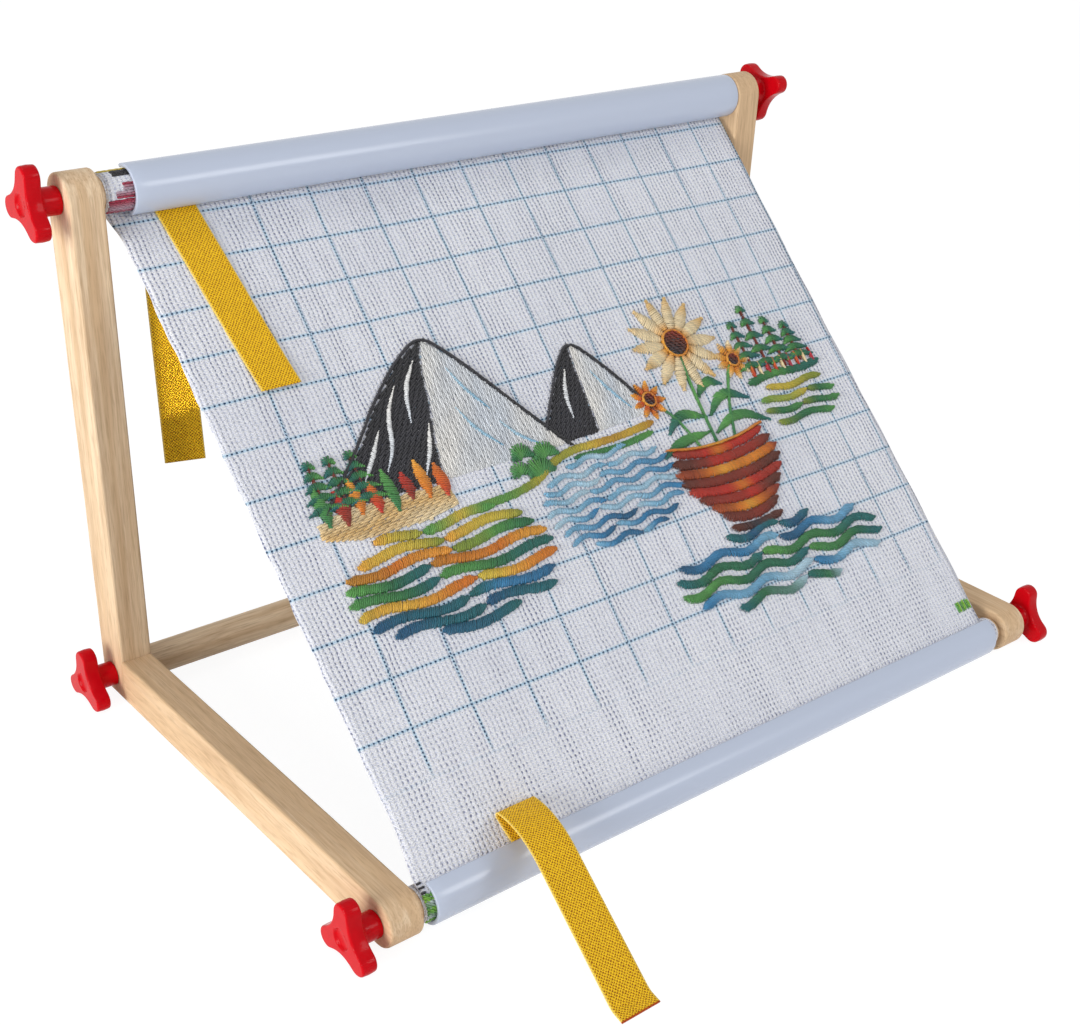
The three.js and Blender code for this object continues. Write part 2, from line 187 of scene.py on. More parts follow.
def aimCamera():
    # forward from yaw and pitch, then right and up turned about it by the roll
    yaw, pitch, roll = view["yaw"], view["pitch"], view["roll"]
    forward = Vector((math.sin(yaw) * math.cos(pitch), math.cos(yaw) * math.cos(pitch), -math.sin(pitch)))
    right = Vector((math.cos(yaw), -math.sin(yaw), 0))
    up = right.cross(forward)
    right, up = right * math.cos(roll) + up * math.sin(roll), up * math.cos(roll) - right * math.sin(roll)
    camera = bpy.data.objects.new("camera", bpy.data.cameras.new("camera"))
    bpy.context.scene.collection.objects.link(camera)
    turn = Matrix((right, up, -forward)).transposed().to_4x4()
    camera.matrix_world = Matrix.Translation(Vector(view["place"]) * mm) @ turn
    camera.data.sensor_width = 36
    camera.data.lens = view["lens"]
    camera.data.shift_x, camera.data.shift_y = view["shift"]
    camera.data.clip_start = 0.01
    bpy.context.scene.camera = camera
    bpy.context.scene.view_settings.view_transform = "Standard"


light = {
    "worldStrength": 0.46,
    "aim": (0, 0, 0.12),
    "lamps": [   # name, place and size in metres, power
        ("key", (-2.4, -0.42, 0.6), 1.2, 44.0),
        ("fill", (0.9, -1.6, 1.1), 0.7, 8.5),
        ("top", (-0.3, 0.4, 1.9), 0.5, 4.0),
    ],
    # a tall slot of light that reaches the strap's tail under the cloth
    "slotPlace": (-0.568, -0.235, 0.03),
    "slotAim": (-0.19, 0.2, 0.2),
    "slotSize": (0.02, 0.13),
    "slotSpread": 1.0,   # degrees
    "slotPower": 0.006,
    "tableGlow": (0.8, 1.14),   # how much of the table is plain light to the camera, how bright
    "tableReach": 6.0,
}


def addLamp(name, position, size, power, aim=light["aim"]):
    # a square area lamp that faces the point it is aimed at
    lamp = bpy.data.objects.new(name, bpy.data.lights.new(name, "AREA"))
    bpy.context.scene.collection.objects.link(lamp)
    lamp.data.size = size
    lamp.data.energy = power
    lamp.location = position
    lamp.rotation_euler = (Vector(aim) - Vector(position)).to_track_quat("-Z", "Y").to_euler()
    return lamp.data


def seenStraight(tree):
    # one for rays from the camera and those in gloss and glass, nought for the rest
    path = addNode(tree, "LightPath")
    direct = addNode(tree, "Math", (path.outputs["Is Camera Ray"], path.outputs["Is Glossy Ray"]),
                     "MAXIMUM")
    return addNode(tree, "Math", (direct, path.outputs["Is Transmission Ray"]), "MAXIMUM")


def setStage():
    # rays that are seen straight meet a white room; the rest meet a soft one
    world = bpy.data.worlds.new("studio")
    bpy.context.scene.world = world
    world.use_nodes = True
    tree = world.node_tree
    tree.nodes.clear()
    soft = addNode(tree, "Background", {"Color": "#F4F6FA", "Strength": light["worldStrength"]})
    white = addNode(tree, "Background", {"Color": (1, 1, 1, 1), "Strength": 1.0})
    mixed = addNode(tree, "MixShader", {0: seenStraight(tree), 1: soft, 2: white})
    addNode(tree, "OutputWorld", {"Surface": mixed})

    for facts in light["lamps"]:
        addLamp(*facts)
    wide, tall = light["slotSize"]
    slot = addLamp("slot", light["slotPlace"], wide, light["slotPower"], light["slotAim"])
    slot.shape, slot.size_y, slot.spread = "RECTANGLE", tall, math.radians(light["slotSpread"])

    # the table is a pale matt sheet that keeps the soft shadow
    material, tree, shader = newMaterial("paleTable")
    setInputs(shader, {"Base Color": "#FBFBFC", "Roughness": 0.9})
    share = addNode(tree, "Math", (seenStraight(tree), light["tableGlow"][0]), "MULTIPLY")
    glow = addNode(tree, "Emission", {"Color": (1, 1, 1, 1), "Strength": light["tableGlow"][1]})
    mixed = addNode(tree, "MixShader", {0: share, 1: shader, 2: glow})
    setInputs(tree.nodes["Material Output"], {"Surface": mixed})
    reach = light["tableReach"]
    mesh = bpy.data.meshes.new("table")
    mesh.from_pydata([(-reach, -reach, 0), (reach, -reach, 0), (reach, reach, 0), (-reach, reach, 0)],
                     [], [(0, 1, 2, 3)])
    mesh.materials.append(material)
    table = bpy.data.objects.new("table", mesh)
    bpy.context.scene.collection.objects.link(table)


aimCamera()
setStage()
print("camera, table and lamps set")

wood = {
    "pale": "#F4DCBB",
    "mid": "#DCBB93",
    "streak": "#C9A781",
    "dark": "#A5815C",
    "grainAcross": 2.0,   # mm from streak to streak
    "grainAlong": 70.0,   # mm that a streak runs
    "poreAcross": 0.65,   # real pores are finer; this is as coarse as the render needs
    "poreAlong": 13.0,
}


def sandedWood(name, axis, seed, tone):
    # Sanded, unvarnished softwood: pale tan streaks along the grain, fine dark pores, a soft
    # silky sheen and faint raised grain. The pattern is noise squeezed across the grain, most
    # of all through the growth rings, so that the end faces show their edges as lines. Tone
    # leans a stick from the pale wood to the deeper one. It is painted shade, for the right
    # upright and the base arms, which lie more in shade.
    material, tree, shader = newMaterial(name)
    where = addNode(tree, "TexCoord")

    def along(across, length, wide):
        # the place in the stick, measured in a pattern's own sizes in mm, from a start of its own
        scale = [1 / (across * wide * mm)] * 3
        scale[1 if axis == 0 else 0] = 1 / (across * mm)
        scale[axis] = 1 / (length * mm)
        return addNode(tree, "Mapping", {
            "Vector": where.outputs["Object"], "Scale": scale,
            "Location": (seed * 3.7, seed * 1.9, seed * 5.3)})

    broad = addNode(tree, "TexNoise", {
        "Vector": along(wood["grainAcross"] * 4, wood["grainAlong"] * 4, 1.5),
        "Scale": 1.0, "Detail": 3.0, "Distortion": 0.6})
    streak = addNode(tree, "TexNoise", {
        "Vector": along(wood["grainAcross"], wood["grainAlong"], 3.0),
        "Scale": 1.0, "Detail": 4.0, "Roughness": 0.6})
    pores = addNode(tree, "TexNoise", {
        "Vector": along(wood["poreAcross"], wood["poreAlong"], 2.4), "Scale": 1.0, "Detail": 2.0})
    poreMask = addNode(tree, "MapRange", (pores, 0.5, 0.74, 0, 0.42))
    # a tone above nought moves this mask towards the deeper wood: painted shade
    broadMask = addNode(tree, "MapRange", (broad, 0.32 - tone, 0.68 - tone))
    streakMask = addNode(tree, "MapRange", (streak, 0.4, 0.68, 0, 0.85))
    ground = addNode(tree, "Mix", {0: broadMask, 6: wood["pale"], 7: wood["mid"]}, "RGBA")
    veined = addNode(tree, "Mix", {0: streakMask, 6: ground, 7: wood["streak"]}, "RGBA")
    final = addNode(tree, "Mix", {0: poreMask, 6: veined, 7: wood["dark"]}, "RGBA")
    bump = addNode(tree, "Bump", {"Height": pores, "Strength": 0.12, "Distance": 0.0002})
    setInputs(shader, {
        "Base Color": final, "Normal": bump, "Roughness": 0.62, "Specular IOR Level": 0.3})
    return material


def dressWood():
    # which way the grain runs (0 for x, 1 for y, 2 for z), and the stick's tone, which is
    # painted shade where it is above nought
    grain = {
        "left_upright": (2, 0.0), "right_upright": (2, 0.34),
        "left_base_arm": (1, 0.16), "right_base_arm": (1, 0.16),
        "back_crossbar": (0, 0.0), "top_roller": (0, 0.0), "bottom_roller": (0, 0.0),
        "left_lower_dowel_pin": (1, 0.0), "left_upper_dowel_pin": (1, 0.0),
        "right_lower_dowel_pin": (1, 0.0), "right_upper_dowel_pin": (1, 0.0),
    }
    for seed, (node, (axis, tone)) in enumerate(grain.items()):
        material = sandedWood("sandedWood_" + node, axis, seed + 1, tone)
        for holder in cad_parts[node].material_slots:
            holder.material = material


dressWood()
print("wood dressed")


def platedMetal(name, hexText, roughness):
    # Zinc-plated or turned metal: a clear metallic shine over fine turning marks round the axis,
    # about 0.2 mm apart.
    material, tree, shader = newMaterial(name)
    where = addNode(tree, "TexCoord")
    marks = addNode(tree, "TexWave", {"Vector": where.outputs["Object"], "Scale": 800.0, "Distortion": 1.0},
                    bands_direction="X")
    bump = addNode(tree, "Bump", {"Height": marks.outputs[1], "Strength": 0.15, "Distance": 0.00005})
    setInputs(shader, {
        "Normal": bump, "Base Color": hexText, "Metallic": 1.0, "Roughness": roughness})
    return material


def dressMetal():
    # studs are zinc plated; the inserts and the knobs' bushes are brass
    zinc = platedMetal("zincPlatedSteel", "#B9BCC2", 0.32)
    brass = platedMetal("turnedBrass", "#C7A24E", 0.3)
    for node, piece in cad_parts.items():
        if node.endswith("_stud"):
            piece.material_slots[0].material = zinc
        if node.endswith(("_insert", "_bush")):
            piece.material_slots[0].material = brass


dressMetal()
print("metal dressed")

clip = {
    "bore": 11.6,       # its radius inside
    "wall": 2.1,
    "endEdge": 0.5,     # radius of the small edge at each end, and the rings round it
    "endSteps": 5,
    "lipSteps": 9,
    "arcSteps": 72,
    "plainFrom": 8.0,   # from each end to the first ring of the plain middle
    # the roll it grips, the angles between its lips, and where it starts and ends along x
    "top": {"centre": "topAxis", "span": (-77.0, 113.0), "ends": (-217.4, 235.6)},
    "bottom": {"centre": "frontAxis", "span": (-114.0, 76.0), "ends": (-227.0, 226.0)},
}


def glossyPvc():
    # Extruded white PVC: cool bright white, glossy, with faint draw lines along its length.
    material, tree, shader = newMaterial("extrudedWhitePvc")
    where = addNode(tree, "TexCoord")
    drawn = addNode(tree, "Mapping", {"Vector": where.outputs["Object"], "Scale": (2.0, 900.0, 900.0)})
    lines = addNode(tree, "TexNoise", {"Vector": drawn, "Scale": 1.0, "Detail": 2.0})
    bump = addNode(tree, "Bump", {"Height": lines, "Strength": 0.04, "Distance": 0.0001})
    setInputs(shader, {
        "Normal": bump, "Base Color": "#C0C9DB", "Roughness": 0.22, "Specular IOR Level": 0.4,
        "IOR": 1.53})
    return material


def clipSection(centre, span, half):
    # a closed loop round the arc's middle line, half a wall to each side, with round lips
    middle = clip["bore"] + clip["wall"] / 2
    out = polar(centre, middle + half, np.linspace(span[0], span[1], clip["arcSteps"]))
    back = polar(centre, middle - half, np.linspace(span[1], span[0], clip["arcSteps"]))
    lips = [polar(polar(centre, middle, at), half, np.linspace(first, first + 180, clip["lipSteps"])[1:-1])
            for at, first in ((span[1], span[1]), (span[0], span[0] + 180))]
    return np.concatenate([out, lips[0], back, lips[1]])


def makeClip(name, facts, body, node):
    # the section swept along x; at each end it shrinks round a small edge and closes flat
    centre = layout[facts["centre"]]
    full = clip["wall"] / 2
    edge = clip["endEdge"]
    turn = np.linspace(0, math.pi / 2, clip["endSteps"])
    inset = np.concatenate([[full], edge * (1 - np.sin(turn))])
    reach = np.concatenate([[0], edge * (1 - np.cos(turn))])
    start, end = facts["ends"]
    stations = [(start + r, full - i) for i, r in zip(inset, reach)]
    stations += [(start + clip["plainFrom"], full), (end - clip["plainFrom"], full)]
    stations += [(end - r, full - i) for i, r in zip(inset[::-1], reach[::-1])]
    rows = []
    for x, half in stations:
        loop = clipSection(centre, facts["span"], half)
        rows.append(np.column_stack([np.full(len(loop), x), loop]))
    points = np.array(rows) * mm
    faces = gridFaces(*points.shape[:2])
    place(name, buildMesh(name, points, faces), pvc, body, "clip_plastic", node)


pvc = glossyPvc()
makeClip("topClipShell", clip["top"], "top_clamp", "top_clip")
makeClip("bottomClipShell", clip["bottom"], "bottom_clamp", "bottom_clip")
print("clips made")

knob = {
    "reach": 15.5,        # axis to the middle of a lobe's tip
    "tip": 6.0,           # the tip's own radius
    "waist": 10.5,        # axis to the hollow between two lobes
    "neckLength": 11.5,
    "slab": 9.0,          # the lobes' thickness, and the radius of their rounded edges
    "edge": 1.3,
    "neck": 7.6,          # radii of the neck, of the recess in the face and of the bore
    "recess": 6.2,
    "recessDepth": 1.6,
    "bore": 4.8,
    "boreDepth": 14.3,
    "faceShares": (0.0, 0.35, 0.7, 0.93),   # rings over a face, from the round part to the lobes
    "swell": 0.25,        # of the rim, half way up
    "faceGap": 0.3,       # from the wood to the neck
    "around": 120,
    "edgeSteps": 6,
    "places": [   # which bar, side and axis it is on, and the angle of its first lobe
        ("top", "left", "topAxis", 75.0),
        ("top", "right", "topAxis", 142.0),
        ("back", "left", "backAxis", 90.0),
        ("back", "right", "backAxis", 90.0),
        ("bottom", "left", "frontAxis", 90.0),
        ("bottom", "right", "frontAxis", 90.0),
    ],
}


def mouldedRed():
    # Injection-moulded polypropylene: deep signal red, glossy, with a slight waxy softness
    # and faint flow unevenness about 6 mm across.
    material, tree, shader = newMaterial("mouldedRedPlastic")
    where = addNode(tree, "TexCoord")
    flow = addNode(tree, "TexNoise", {"Vector": where.outputs["Object"], "Scale": 160.0, "Detail": 2.0})
    mixed = addNode(tree, "Mix", {0: flow, 6: "#BE0410", 7: "#D00A18"}, "RGBA")
    bump = addNode(tree, "Bump", {"Height": flow, "Strength": 0.06, "Distance": 0.0004})
    setInputs(shader, {
        "Base Color": mixed, "Normal": bump, "Roughness": 0.14, "Specular IOR Level": 0.08,
        "IOR": 1.49})
    return material


def lobeRadius(angle):
    # distance from the axis to the three-lobe outline: a round tip, then a hollow flank that
    # touches it smoothly, repeated every third of a turn
    reach, tip, waist = knob["reach"], knob["tip"], knob["waist"]
    flank = (reach ** 2 + waist ** 2 - reach * waist - tip ** 2) / (2 * tip - 2 * waist + reach)
    far = waist + flank
    third = 2 * math.pi / 3
    off = np.abs((angle + third / 2) % third - third / 2)
    onTip = reach * np.cos(off) + np.sqrt(np.maximum(tip ** 2 - (reach * np.sin(off)) ** 2, 0))
    side = third / 2 - off
    onFlank = far * np.cos(side) - np.sqrt(np.maximum(flank ** 2 - (far * np.sin(side)) ** 2, 0))
    hollow = np.array([far * math.cos(third / 2), far * math.sin(third / 2)])
    touch = np.array([reach, 0]) + tip * (hollow - [reach, 0]) / (tip + flank)
    return np.where(off < math.atan2(touch[1], touch[0]), onTip, onFlank)


def knobStations():
    # one row for each ring from the recess down to the bore: (share of the lobed outline, plain
    # radius or inset, height). A rounded edge is a quarter of a circle, and the small steps
    # between are the mould's roundings.
    edge, neck, recess, bore = knob["edge"], knob["neck"], knob["recess"], knob["bore"]
    low = knob["neckLength"]
    top = low + knob["slab"]
    floor = top - knob["recessDepth"]
    shares = knob["faceShares"]
    rows = [(0, 0.0, floor), (0, recess - 1.2, floor), (0, recess - 0.6, floor + 0.4),
            (0, recess - 0.1, top - 0.3), (0, recess + 0.3, top)]
    rows += [(s, (1 - s) * (recess + 0.6) - s * edge, top) for s in (*shares, 1.0)]
    rows += [(1, -edge * (1 - math.sin(t)), top - edge * (1 - math.cos(t)))
             for t in np.linspace(0.2, math.pi / 2, knob["edgeSteps"])]
    rows += [(1, knob["swell"], low + knob["slab"] * 0.5)]
    rows += [(1, -edge * (1 - math.cos(t)), low + edge * (1 - math.sin(t)))
             for t in np.linspace(0, math.pi / 2, knob["edgeSteps"])]
    rows += [(s, (1 - s) * (neck + 1.4) - s * edge, low) for s in shares[::-1]]
    rows += [(0, neck + 0.6, low - 0.35), (0, neck + 0.2, low - 1.2), (0, neck, low - 2.5)]
    rows += [(0, neck, 1.0), (0, neck, 0.5), (0, neck - 0.15, 0.15), (0, neck - 0.5, 0.0)]
    rows += [(0, bore + 0.3, 0.0), (0, bore, 0.3)]
    rows += [(0, bore, knob["boreDepth"]), (0, 0.0, knob["boreDepth"])]
    return rows


def makeKnob(where, side, axisName, lobeAngle):
    # rings of points about the knob's axis, each ring a mix of a circle and the lobed outline
    sign = -1 if side == "left" else 1
    centre = layout[axisName]
    angle = np.linspace(0, 2 * math.pi, knob["around"], endpoint=False)
    outline = lobeRadius(angle - math.radians(lobeAngle))
    rings = []
    for share, plain, height in knobStations():
        radius = share * outline + plain
        x = sign * (layout["outerFace"] + knob["faceGap"] + height)
        rings.append(np.stack([np.full(len(angle), x), centre[0] - radius * np.cos(angle),
                               centre[1] + radius * np.sin(angle)], -1))
    points = np.array(rings) * mm
    faces = gridFaces(*points.shape[:2])
    name = where + side.capitalize() + "Grip"
    place(name, buildMesh(name, points, faces), red, where + "_" + side + "_nut", "knob_plastic",
          where + "_" + side + "_knob")


red = mouldedRed()
for facts in knob["places"]:
    makeKnob(*facts)
print("knobs made")

cloth = {
    "rollLayer": 10.1,     # middle of the outermost layer round the top roll, from its axis
    "thick": 0.7,
    "wrapFrom": -70.0,     # where that layer starts, in front of the roll and under the clip
    "pathPoints": (120, 200, 60),   # over the top roll, down the straight run, at the foot
    "lipAngle": 84.0,      # where the cloth goes under the bottom clip's lip
    "lipRadius": 10.85,
    "footRadius": 10.15,   # on the bottom roll
    "settled": 50.0,       # the angle at which it has come down to that radius
    "footTo": -70.0,
    "leftEdge": (-226.0, -229.5),   # at the head and at the foot
    "rightEdge": (231.5, 222.5),
    "rollEdge": -232.4,    # the left edge is wider where it lies on a roll
    "flare": (4.0, 34.0),  # it narrows from so far on the roll, over so long
    "across": 4.0,         # a cell of its mesh: width, length, and length where it is bent
    "along": 3.2,
    "bent": 0.8,
    "innerHalf": 233.0,    # the layer under the outer one: half its width, and its radius
    "innerRadius": 9.42,
    "innerThick": 0.5,
    "innerDrop": 0.1,      # how much the radius shrinks in a turn
    "innerTurns": 1.02,
    "innerPoints": 150,
    "innerFrom": 60.0,     # the angle at which it starts
    "innerRows": (0, 0.4, 4.0, 18.0, 113.0),   # rows of its mesh, from either edge
    "ribPitch": 3.0,
    "ruleFirst": 114.0,    # the upright lines, from the left upright's outer face
    "rulePitch": 38.6,
    "ruleShrink": 0.42,
    "ruleMean": 38.0,      # their usual distance, for the ink's width
    "ruleLean": 0.042,
    "ruleTop": 15.1,       # first level line below the head
    "ruleStep": 28.4,
    "ruleFoot": 358.0,     # where the upright ruled lines fade out
}


def clothLine():
    # the straight run: it leaves the top roll along a tangent behind it and ends at the lip
    top = np.array(layout["topAxis"])
    foot = polar(layout["frontAxis"], cloth["lipRadius"], cloth["lipAngle"])
    toFoot = foot - top
    length = np.hypot(*toFoot)
    angle = math.atan2(toFoot[1], toFoot[0]) + math.acos(cloth["rollLayer"] / length)
    head = top + cloth["rollLayer"] * np.array([math.cos(angle), math.sin(angle)])
    down = (foot - head) / np.linalg.norm(foot - head)
    return head, foot, down, -leftOf(down)


def clothPath():
    # over the top roll under its clip, the straight run, then under the bottom clip's lip
    toHead = clothHead - np.array(layout["topAxis"])
    leave = math.degrees(math.atan2(toHead[1], -toHead[0])) % 360
    wrapPoints, runPoints, footPoints = cloth["pathPoints"]
    wrap = polar(layout["topAxis"], cloth["rollLayer"], np.linspace(cloth["wrapFrom"], leave, wrapPoints))
    under = np.linspace(cloth["lipAngle"] - 3, cloth["footTo"], footPoints)
    low, settled = cloth["footRadius"], cloth["settled"]
    still = np.clip((under - settled) / (cloth["lipAngle"] - settled), 0, 1) ** 2
    radius = low + (cloth["lipRadius"] - low) * still
    middle = clothHead + np.linspace(0, 1, runPoints)[1:, None] * (clothFoot - clothHead)
    path = np.concatenate([wrap, middle, polar(layout["frontAxis"], radius, under)])
    run = lengthsAlong(path)
    return path, -leftOf(headings(path, run)), run - run[len(wrap) - 1]


clothHead, clothFoot, clothDown, clothNormal = clothLine()
clothRun = float(np.linalg.norm(clothFoot - clothHead))
clothPoints, clothOut, clothAt = clothPath()


def swell(x, s):
    # the stretched cloth is not dead flat: the sum of three long low sine waves over x and s,
    # in millimetres along its normal, which dies out within 20 mm of where it is held
    held = np.clip(s / 20, 0, 1) * np.clip((clothRun - s) / 20, 0, 1)
    return held * (0.35 * np.sin(x / 61.0 + 0.4) * np.sin(s / 83.0) + 0.25 * np.sin(x / 29.0 + s / 47.0)
                   + 0.18 * np.sin(x / 17.0 - s / 140.0 + 1.3))


def onCloth(x, s, height):
    # the point s millimetres below the head along the cloth's middle, plus a height along its
    # normal; s below zero is still on the roll
    x, s, height = np.broadcast_arrays(x, s, height)
    lift = height + swell(x, s)
    y = np.interp(s, clothAt, clothPoints[:, 0]) + np.interp(s, clothAt, clothOut[:, 0]) * lift
    z = np.interp(s, clothAt, clothPoints[:, 1]) + np.interp(s, clothAt, clothOut[:, 1]) * lift
    return np.stack([x, y, z], -1)


def strapTape():
    # Woven polyester webbing: golden yellow, dull, with a birdseye weave whose gaps hold painted
    # shade between the raised threads, a painted highlight in a pale band down both edges, and a
    # heat-cut end. The real eyes are 1 mm apart; these are 2 mm, to show in the render. The weave
    # is sine of u times sine of v.
    material, tree, shader = newMaterial("goldenWebbing")
    flat = addNode(tree, "UVMap", uv_map="flat")
    uneven = addNode(tree, "TexNoise", {"Vector": flat, "Scale": 0.7, "Detail": 1.0})
    pulled = addNode(tree, "VectorMath", {0: uneven.outputs[1], 1: (1.1, 1.1, 0.0), 2: flat},
                     "MULTIPLY_ADD")
    axes = addNode(tree, "SeparateXYZ", {0: pulled})
    cell = 2 * math.pi / strap["eye"]
    sines = []
    for axis in axes.outputs[:2]:
        turn = addNode(tree, "Math", (axis, cell), "MULTIPLY")
        sines.append(addNode(tree, "Math", (turn,), "SINE"))
    rough = addNode(tree, "TexNoise", {"Vector": flat, "Scale": 1.1, "Detail": 2.0})
    weave = addNode(tree, "Math", (sines[0], sines[1], rough), "MULTIPLY_ADD")
    # painted shade: the gaps of the weave are painted in darker, browner yellows than the raised threads
    raised = addNode(tree, "MapRange", (weave, -0.15, 0.6), "SMOOTHSTEP")
    broad = addNode(tree, "TexNoise", {"Vector": flat, "Scale": 0.05, "Detail": 1.0})
    dark = addNode(tree, "Mix", {0: broad, 6: "#8E4C00", 7: "#AC6800"}, "RGBA")
    woven = addNode(tree, "Mix", {0: raised, 6: dark, 7: "#FFCC20"}, "RGBA")
    ends = addNode(tree, "UVMap", uv_map="ends")
    fromEnd = addNode(tree, "SeparateXYZ", {0: ends})
    # a painted highlight: a pale yellow band down both edges, where the light catches them
    edgeHighlight = addNode(tree, "MapRange", (fromEnd.outputs[1], 11.4, 12.0, 0, 0.6))
    edgeHighlighted = addNode(tree, "Mix", {0: edgeHighlight, 6: woven, 7: "#FFE27C"}, "RGBA")
    burnt = addNode(tree, "MapRange", (fromEnd, 1.1, 0.3))
    scorched = addNode(tree, "Mix", {0: burnt, 6: edgeHighlighted, 7: "#B4440E"}, "RGBA")
    bump = addNode(tree, "Bump", {"Height": weave, "Strength": 0.7, "Distance": 0.0003})
    setInputs(shader, {
        "Base Color": scorched, "Normal": bump, "Roughness": 0.7, "Specular IOR Level": 0.2,
        "Sheen Weight": 0.05})
    return material


strap = {
    "width": 25.0,
    "thick": 0.9,
    "step": 1.5,       # from row to row of its mesh
    "across": 14,      # points over its width, round an edge and round a bend
    "edgeSteps": 6,
    "bendSteps": 14,
    "overSteps": 90,   # points of its path over the top roll, and of a lying or hidden stretch
    "lyingSteps": 60,
    "round": 11.0,     # radius round a roll, under its clip
    "eye": 2.0,        # the weave's repeat
    "plainEnd": 9.0,   # added to the distance from an end that no flame sealed, so it stays yellow
    # its middle along x, the tail behind and its twist, the length down the cloth, the angle
    # where it leaves the clip's lip, the gap under it, and whether its end is burnt
    "top": {
        "middleX": (-190.0, -195.0, -178.2), "tail": 170.0, "twist": -16.0, "front": 118.0,
        "leave": -83.0, "clear": 0.35, "burnt": 0.0},
    # the angles it is hidden between, where it comes out and how far it rises, the radii of the
    # fold, the arch and the settling, the slopes before and after the arch, and how far in
    # front of the roll's axis it ends
    "bottom": {
        "middleX": (-153.5, -181.5), "tail": 1.0, "twist": 0.0, "hidden": (-95.0, 76.0),
        "riseAt": (11.1, 88.0), "riseOff": 1.0, "rise": 13.5, "fold": 3.2, "lift": 14.0, "arch": 60.0,
        "slope": 26.0, "settle": 12.0, "reach": 115.1, "clear": 0.15, "burnt": 1.0},
}


def evenSteps(path, step):
    # the path resampled at equal steps of arc length
    run = lengthsAlong(path)
    count = max(int(run[-1] / step), 2)
    at = np.linspace(0, run[-1], count + 1)
    return np.stack([np.interp(at, run, path[:, 0]), np.interp(at, run, path[:, 1])], -1), at


def turnAround(start, heading, turn, radius):
    # points of an arc that starts along a heading and turns through an angle: the start's spoke
    # from the centre, turned step by step
    side = math.copysign(1, turn)
    centre = start + side * radius * leftOf(heading)
    spoke = start - centre
    angle = turn * np.arange(1, strap["bendSteps"] + 1) / strap["bendSteps"]
    y = spoke[0] * np.cos(angle) - spoke[1] * np.sin(angle)
    z = spoke[0] * np.sin(angle) + spoke[1] * np.cos(angle)
    return centre + np.stack([y, z], -1)


def ribbonGrid(path, middleX):
    # front and back sheets half a thickness from the path, joined round by half-round edges
    normal = leftOf(headings(path))
    width, half = strap["width"], strap["thick"] / 2
    u = np.linspace(-1, 1, strap["across"])
    face = np.column_stack([u * (width / 2 - half), np.full(len(u), half)])
    edge = np.linspace(math.pi / 2, -math.pi / 2, strap["edgeSteps"])[1:-1]
    right = np.column_stack([width / 2 - half + half * np.cos(edge), half * np.sin(edge)])
    loop = np.concatenate([face, right, face[::-1] * [1, -1], right[::-1] * [-1, 1]])
    x = middleX[:, None] + loop[None, :, 0]
    offset = loop[None, :, 1]
    y = path[:, None, 0] + normal[:, None, 0] * offset
    z = path[:, None, 1] + normal[:, None, 1] * offset
    return np.stack([x, y, z], -1), loop


def makeStrap(name, path, facts, body, node):
    # a ribbon along the path, closed at both cut ends; middleX gives its middle at the start,
    # where a hanging tail ends, and at the far end, and the twist turns the start of the tail
    # about its own length, dying out as the square; a burnt end was sealed with a flame
    path, run = evenSteps(path, strap["step"])
    middleX, tail = facts["middleX"], facts["tail"]
    middle = np.interp(run, [0, tail, run[-1]] if len(middleX) == 3 else [0, run[-1]], middleX)
    points, loop = ribbonGrid(path, middle)
    angle = (math.radians(facts["twist"]) * np.clip(1 - run / tail, 0, 1) ** 2)[:, None]
    fromX, fromY = points[..., 0] - middle[:, None], points[..., 1] - path[:, None, 0]
    points[..., 0] = middle[:, None] + fromX * np.cos(angle) - fromY * np.sin(angle)
    points[..., 1] = path[:, None, 0] + fromX * np.sin(angle) + fromY * np.cos(angle)
    rows, columns = points.shape[:2]
    faces = gridFaces(rows, columns).tolist()
    faces.append(list(range(columns)))
    faces.append([(rows - 1) * columns + i for i in range(columns)])
    uv = np.stack(np.broadcast_arrays(loop[None, :, 0], run[:, None]), -1)
    fromEnd = run[-1] - run + (1 - facts["burnt"]) * strap["plainEnd"]
    ends = np.stack(np.broadcast_arrays(fromEnd[:, None], np.abs(loop[None, :, 0])), -1)
    mesh = buildMesh(name, points * mm, faces, {"flat": uv, "ends": ends})
    place(name, mesh, tape, body, "webbing", node)


def topStrapPath():
    # tail up behind the roll, over it under the clip, round the clip's lower lip, down the cloth,
    # where it lifts in a low wave and its end curls up as the sixth power of the share
    facts = strap["top"]
    centre = layout["topAxis"]
    over = polar(centre, strap["round"], np.linspace(180, facts["leave"], strap["overSteps"]))
    tail = np.array([[over[0][0], centre[1] - facts["tail"]]])
    angle = math.radians(facts["leave"])
    heading = np.array([-math.sin(angle), -math.cos(angle)])
    lying = (cloth["thick"] + strap["thick"]) / 2 + facts["clear"]
    height = (over[-1] - clothHead) @ clothNormal
    radius = (height - lying) / (1 + leftOf(heading) @ clothNormal)
    turn = math.atan2(clothDown[1], clothDown[0]) - math.atan2(heading[1], heading[0])
    turn = math.atan2(math.sin(turn), math.cos(turn))
    bend = turnAround(over[-1], heading, turn, radius)
    run = np.linspace(0, facts["front"], strap["lyingSteps"])[1:]
    lift = 0.25 * np.sin(run / 19.0) * (run / facts["front"]) + 1.1 * (run / facts["front"]) ** 6
    down = bend[-1] + run[:, None] * clothDown + lift[:, None] * clothNormal
    return np.concatenate([tail, over, bend, down])


